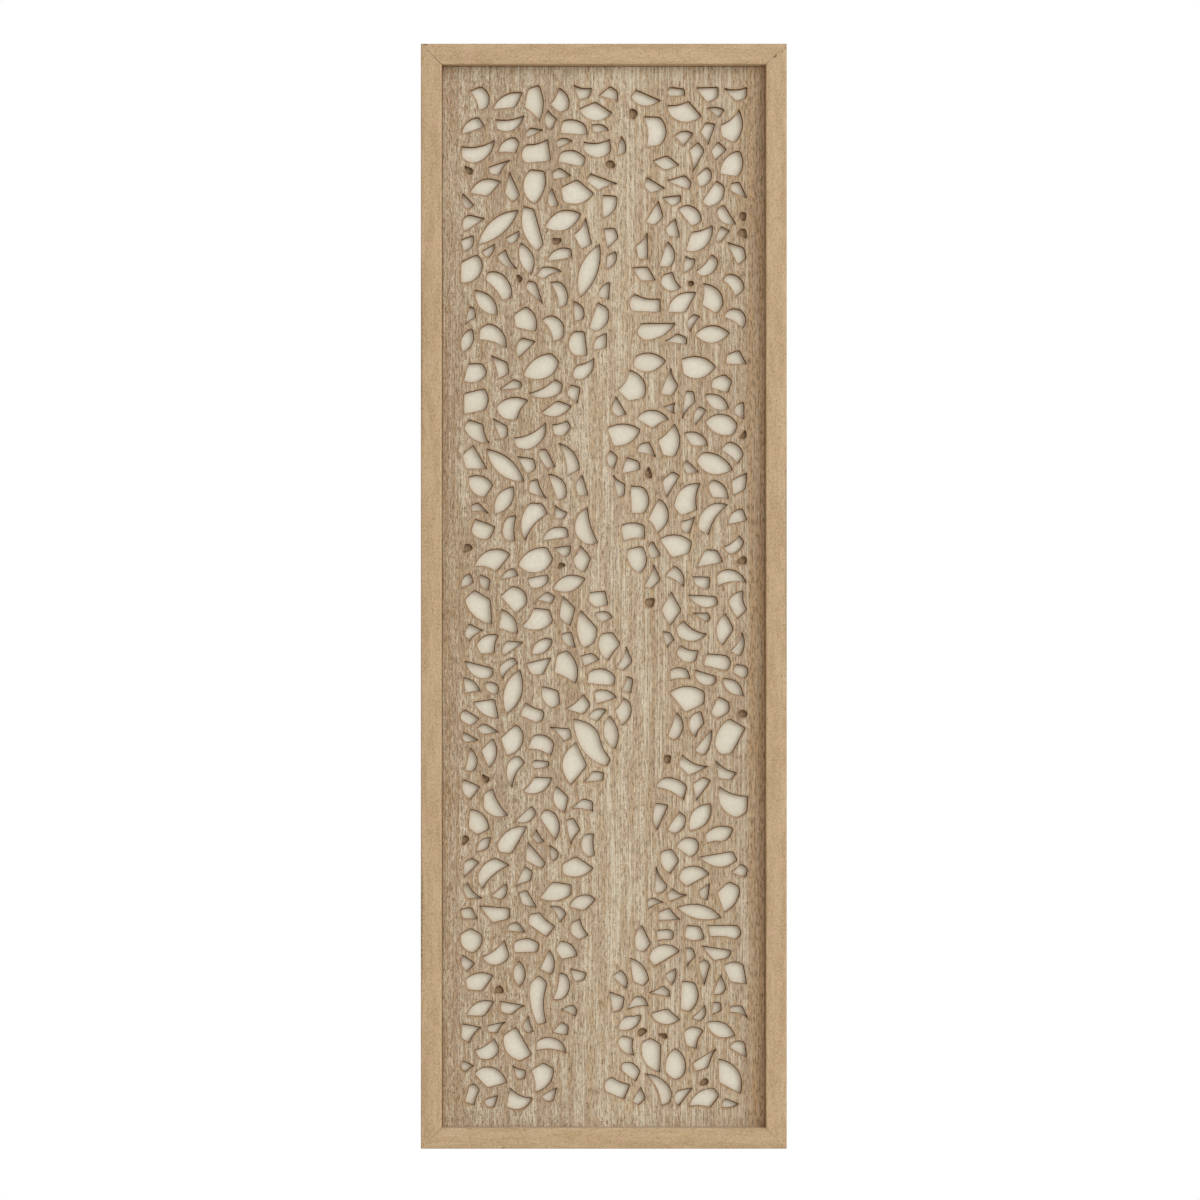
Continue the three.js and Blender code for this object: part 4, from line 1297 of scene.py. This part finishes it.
def nails_tree():
    tree, given = new_geometry_tree("nails", [
        ("Head Radius", "NodeSocketFloat", 0.0018), ("Shank Radius", "NodeSocketFloat", 0.0007),
        ("Head Height", "NodeSocketFloat", 0.0008), ("Length", "NodeSocketFloat", 0.009),
        ("Spacing", "NodeSocketFloat", 0.037), ("Head Top", "NodeSocketFloat", -0.0009),
        ("Steel", "NodeSocketMaterial", None)])
    head, shank = given["Head Radius"], given["Shank Radius"]
    under = sum_of(tree, "MULTIPLY", given["Head Height"], -1.0)
    tip = sum_of(tree, "SUBTRACT", under, given["Length"])
    shoulder = sum_of(tree, "ADD", tip, sum_of(tree, "MULTIPLY", shank, 2.2))
    profile = [
        (0.0, 0.0), (sum_of(tree, "MULTIPLY", head, 0.45), -0.05 * MM),
        (sum_of(tree, "MULTIPLY", head, 0.8), -0.17 * MM),
        (sum_of(tree, "MULTIPLY", head, 0.96), -0.33 * MM), (head, -0.52 * MM),
        (sum_of(tree, "MULTIPLY", head, 0.94), under), (shank, under), (shank, shoulder),
        (sum_of(tree, "MULTIPLY", shank, 0.5), sum_of(tree, "ADD", tip, 0.4 * MM)), (0.0, tip),
    ]
    line = add(tree, "GeometryNodeCurvePrimitiveLine")
    points = add(tree, "GeometryNodeResampleCurve", Curve=line.outputs[0], Count=len(profile))
    marked = add(tree, "GeometryNodeStoreNamedAttribute", {"data_type": "FLOAT_VECTOR"},
                 Geometry=points.outputs[0], Name="turned", Value=point_by_number(tree, profile))
    circle = add(tree, "GeometryNodeCurvePrimitiveCircle", Resolution=20, Radius=1.0)
    lathe = add(tree, "GeometryNodeCurveToMesh", Curve=circle.outputs[0],
                Profile_Curve=marked.outputs[0], Scale=0.01)

    turned = add(tree, "GeometryNodeInputNamedAttribute", {"data_type": "FLOAT_VECTOR"},
                 Name="turned")
    outline = add(tree, "ShaderNodeSeparateXYZ", Vector=turned.outputs[0]).outputs
    spoke = add(tree, "ShaderNodeVectorMath", {"operation": "MULTIPLY"}, i1=(1, 1, 0),
                i0=tree.nodes.new("GeometryNodeInputPosition").outputs[0]).outputs[0]
    unit = add(tree, "ShaderNodeVectorMath", {"operation": "NORMALIZE"}, i0=spoke).outputs[0]
    wide = add(tree, "ShaderNodeVectorMath", {"operation": "SCALE"}, i0=unit,
               Scale=outline["X"]).outputs[0]
    high = add(tree, "ShaderNodeCombineXYZ", Z=outline["Y"]).outputs[0]
    place = add(tree, "ShaderNodeVectorMath", {"operation": "ADD"}, i0=wide, i1=high).outputs[0]
    shaped = add(tree, "GeometryNodeSetPosition", Geometry=lathe.outputs[0], Position=place)
    nail = add(tree, "GeometryNodeMergeByDistance", Geometry=shaped.outputs[0], Distance=1e-6)

    first = sum_of(tree, "MULTIPLY", given["Spacing"], -0.5)
    start = add(tree, "ShaderNodeCombineXYZ", X=first, Y=given["Head Top"])
    step = add(tree, "ShaderNodeCombineXYZ", X=given["Spacing"])
    row = add(tree, "GeometryNodeMeshLine", Count=2, Start_Location=start.outputs[0],
              Offset=step.outputs[0])
    pair = add(tree, "GeometryNodeInstanceOnPoints", Points=row.outputs[0],
               Instance=nail.outputs[0], Rotation=(-math.pi / 2, 0, 0))
    real = add(tree, "GeometryNodeRealizeInstances", Geometry=pair.outputs[0])
    finished = add(tree, "GeometryNodeSetMaterial", Geometry=real.outputs[0],
                   Material=given["Steel"])
    out = tree.nodes.new("NodeGroupOutput")
    tree.links.new(finished.outputs[0], out.inputs[0])
    return tree


NAILS_TREE = nails_tree()
print("tree:", NAILS_TREE.name, len(NAILS_TREE.nodes), "nodes")

# %% Make the nails
blank_nails = bpy.data.objects.new("blank", bpy.data.meshes.new("blank"))
bpy.context.scene.collection.objects.link(blank_nails)
nail_middle = (nail_low.x + nail_high.x) / 2
nails = made_by(
    NAILS_TREE, blank_nails, "hanger_nails", 40,
    Head_Radius=(nail_high.x - nail_low.x) / 2, Shank_Radius=0.7 * MM, Head_Height=0.8 * MM,
    Length=nail_high.y - nail_low.y - 0.8 * MM, Spacing=-2 * nail_middle,
    Head_Top=nail_high.y, Steel=ZINC)
check_closed(nails)
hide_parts("hanger_nail_left", "hanger_nail_right")
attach(nails, "root")

# %% [markdown]
# ## The floor
# The panel hangs, so nothing carries it from below. A plain pale floor lies well under it,
# out of the camera's view, and gives the light something soft to bounce from.

# %% Lay the floor
floor_mesh = bpy.data.meshes.new("floor")
floor_z = cad_box[0].z - 0.4
floor_mesh.from_pydata([(-1.5, -1.3, floor_z), (1.5, -1.3, floor_z), (1.5, 1.2, floor_z),
                        (-1.5, 1.2, floor_z)], [], [(0, 1, 2, 3)])
floor = bpy.data.objects.new("floor", floor_mesh)
bpy.context.scene.collection.objects.link(floor)
floor_paint, floor_tree, floor_surface = new_material("pale_floor")
floor_place = floor_tree.nodes.new("ShaderNodeTexCoord").outputs["Object"]
floor_cloud = grain(floor_tree, floor_place, 300, 300, 41.0, 0.3, 0.7)
put(floor_tree, floor_surface.inputs["Base Color"],
    blend_colour(floor_tree, floor_cloud, shade(226, 224, 220), shade(234, 232, 229)))
floor_surface.inputs["Roughness"].default_value = 0.8
floor_mesh.materials.append(floor_paint)
floor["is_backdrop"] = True
print("floor at", round(floor_z, 3), "m")

# %% [markdown]
# ## Sizes, checked
# The finished model has to stay inside the CAD model's box. The last line prints how far
# each corner of that box has moved.

# %% Compare the sizes and finish
seen_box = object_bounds()
for name, first, second in (("low", cad_box[0], seen_box[0]), ("high", cad_box[1], seen_box[1])):
    print(name, "corner moved by", [round((b - a) / MM, 3) for a, b in zip(first, second)], "mm")
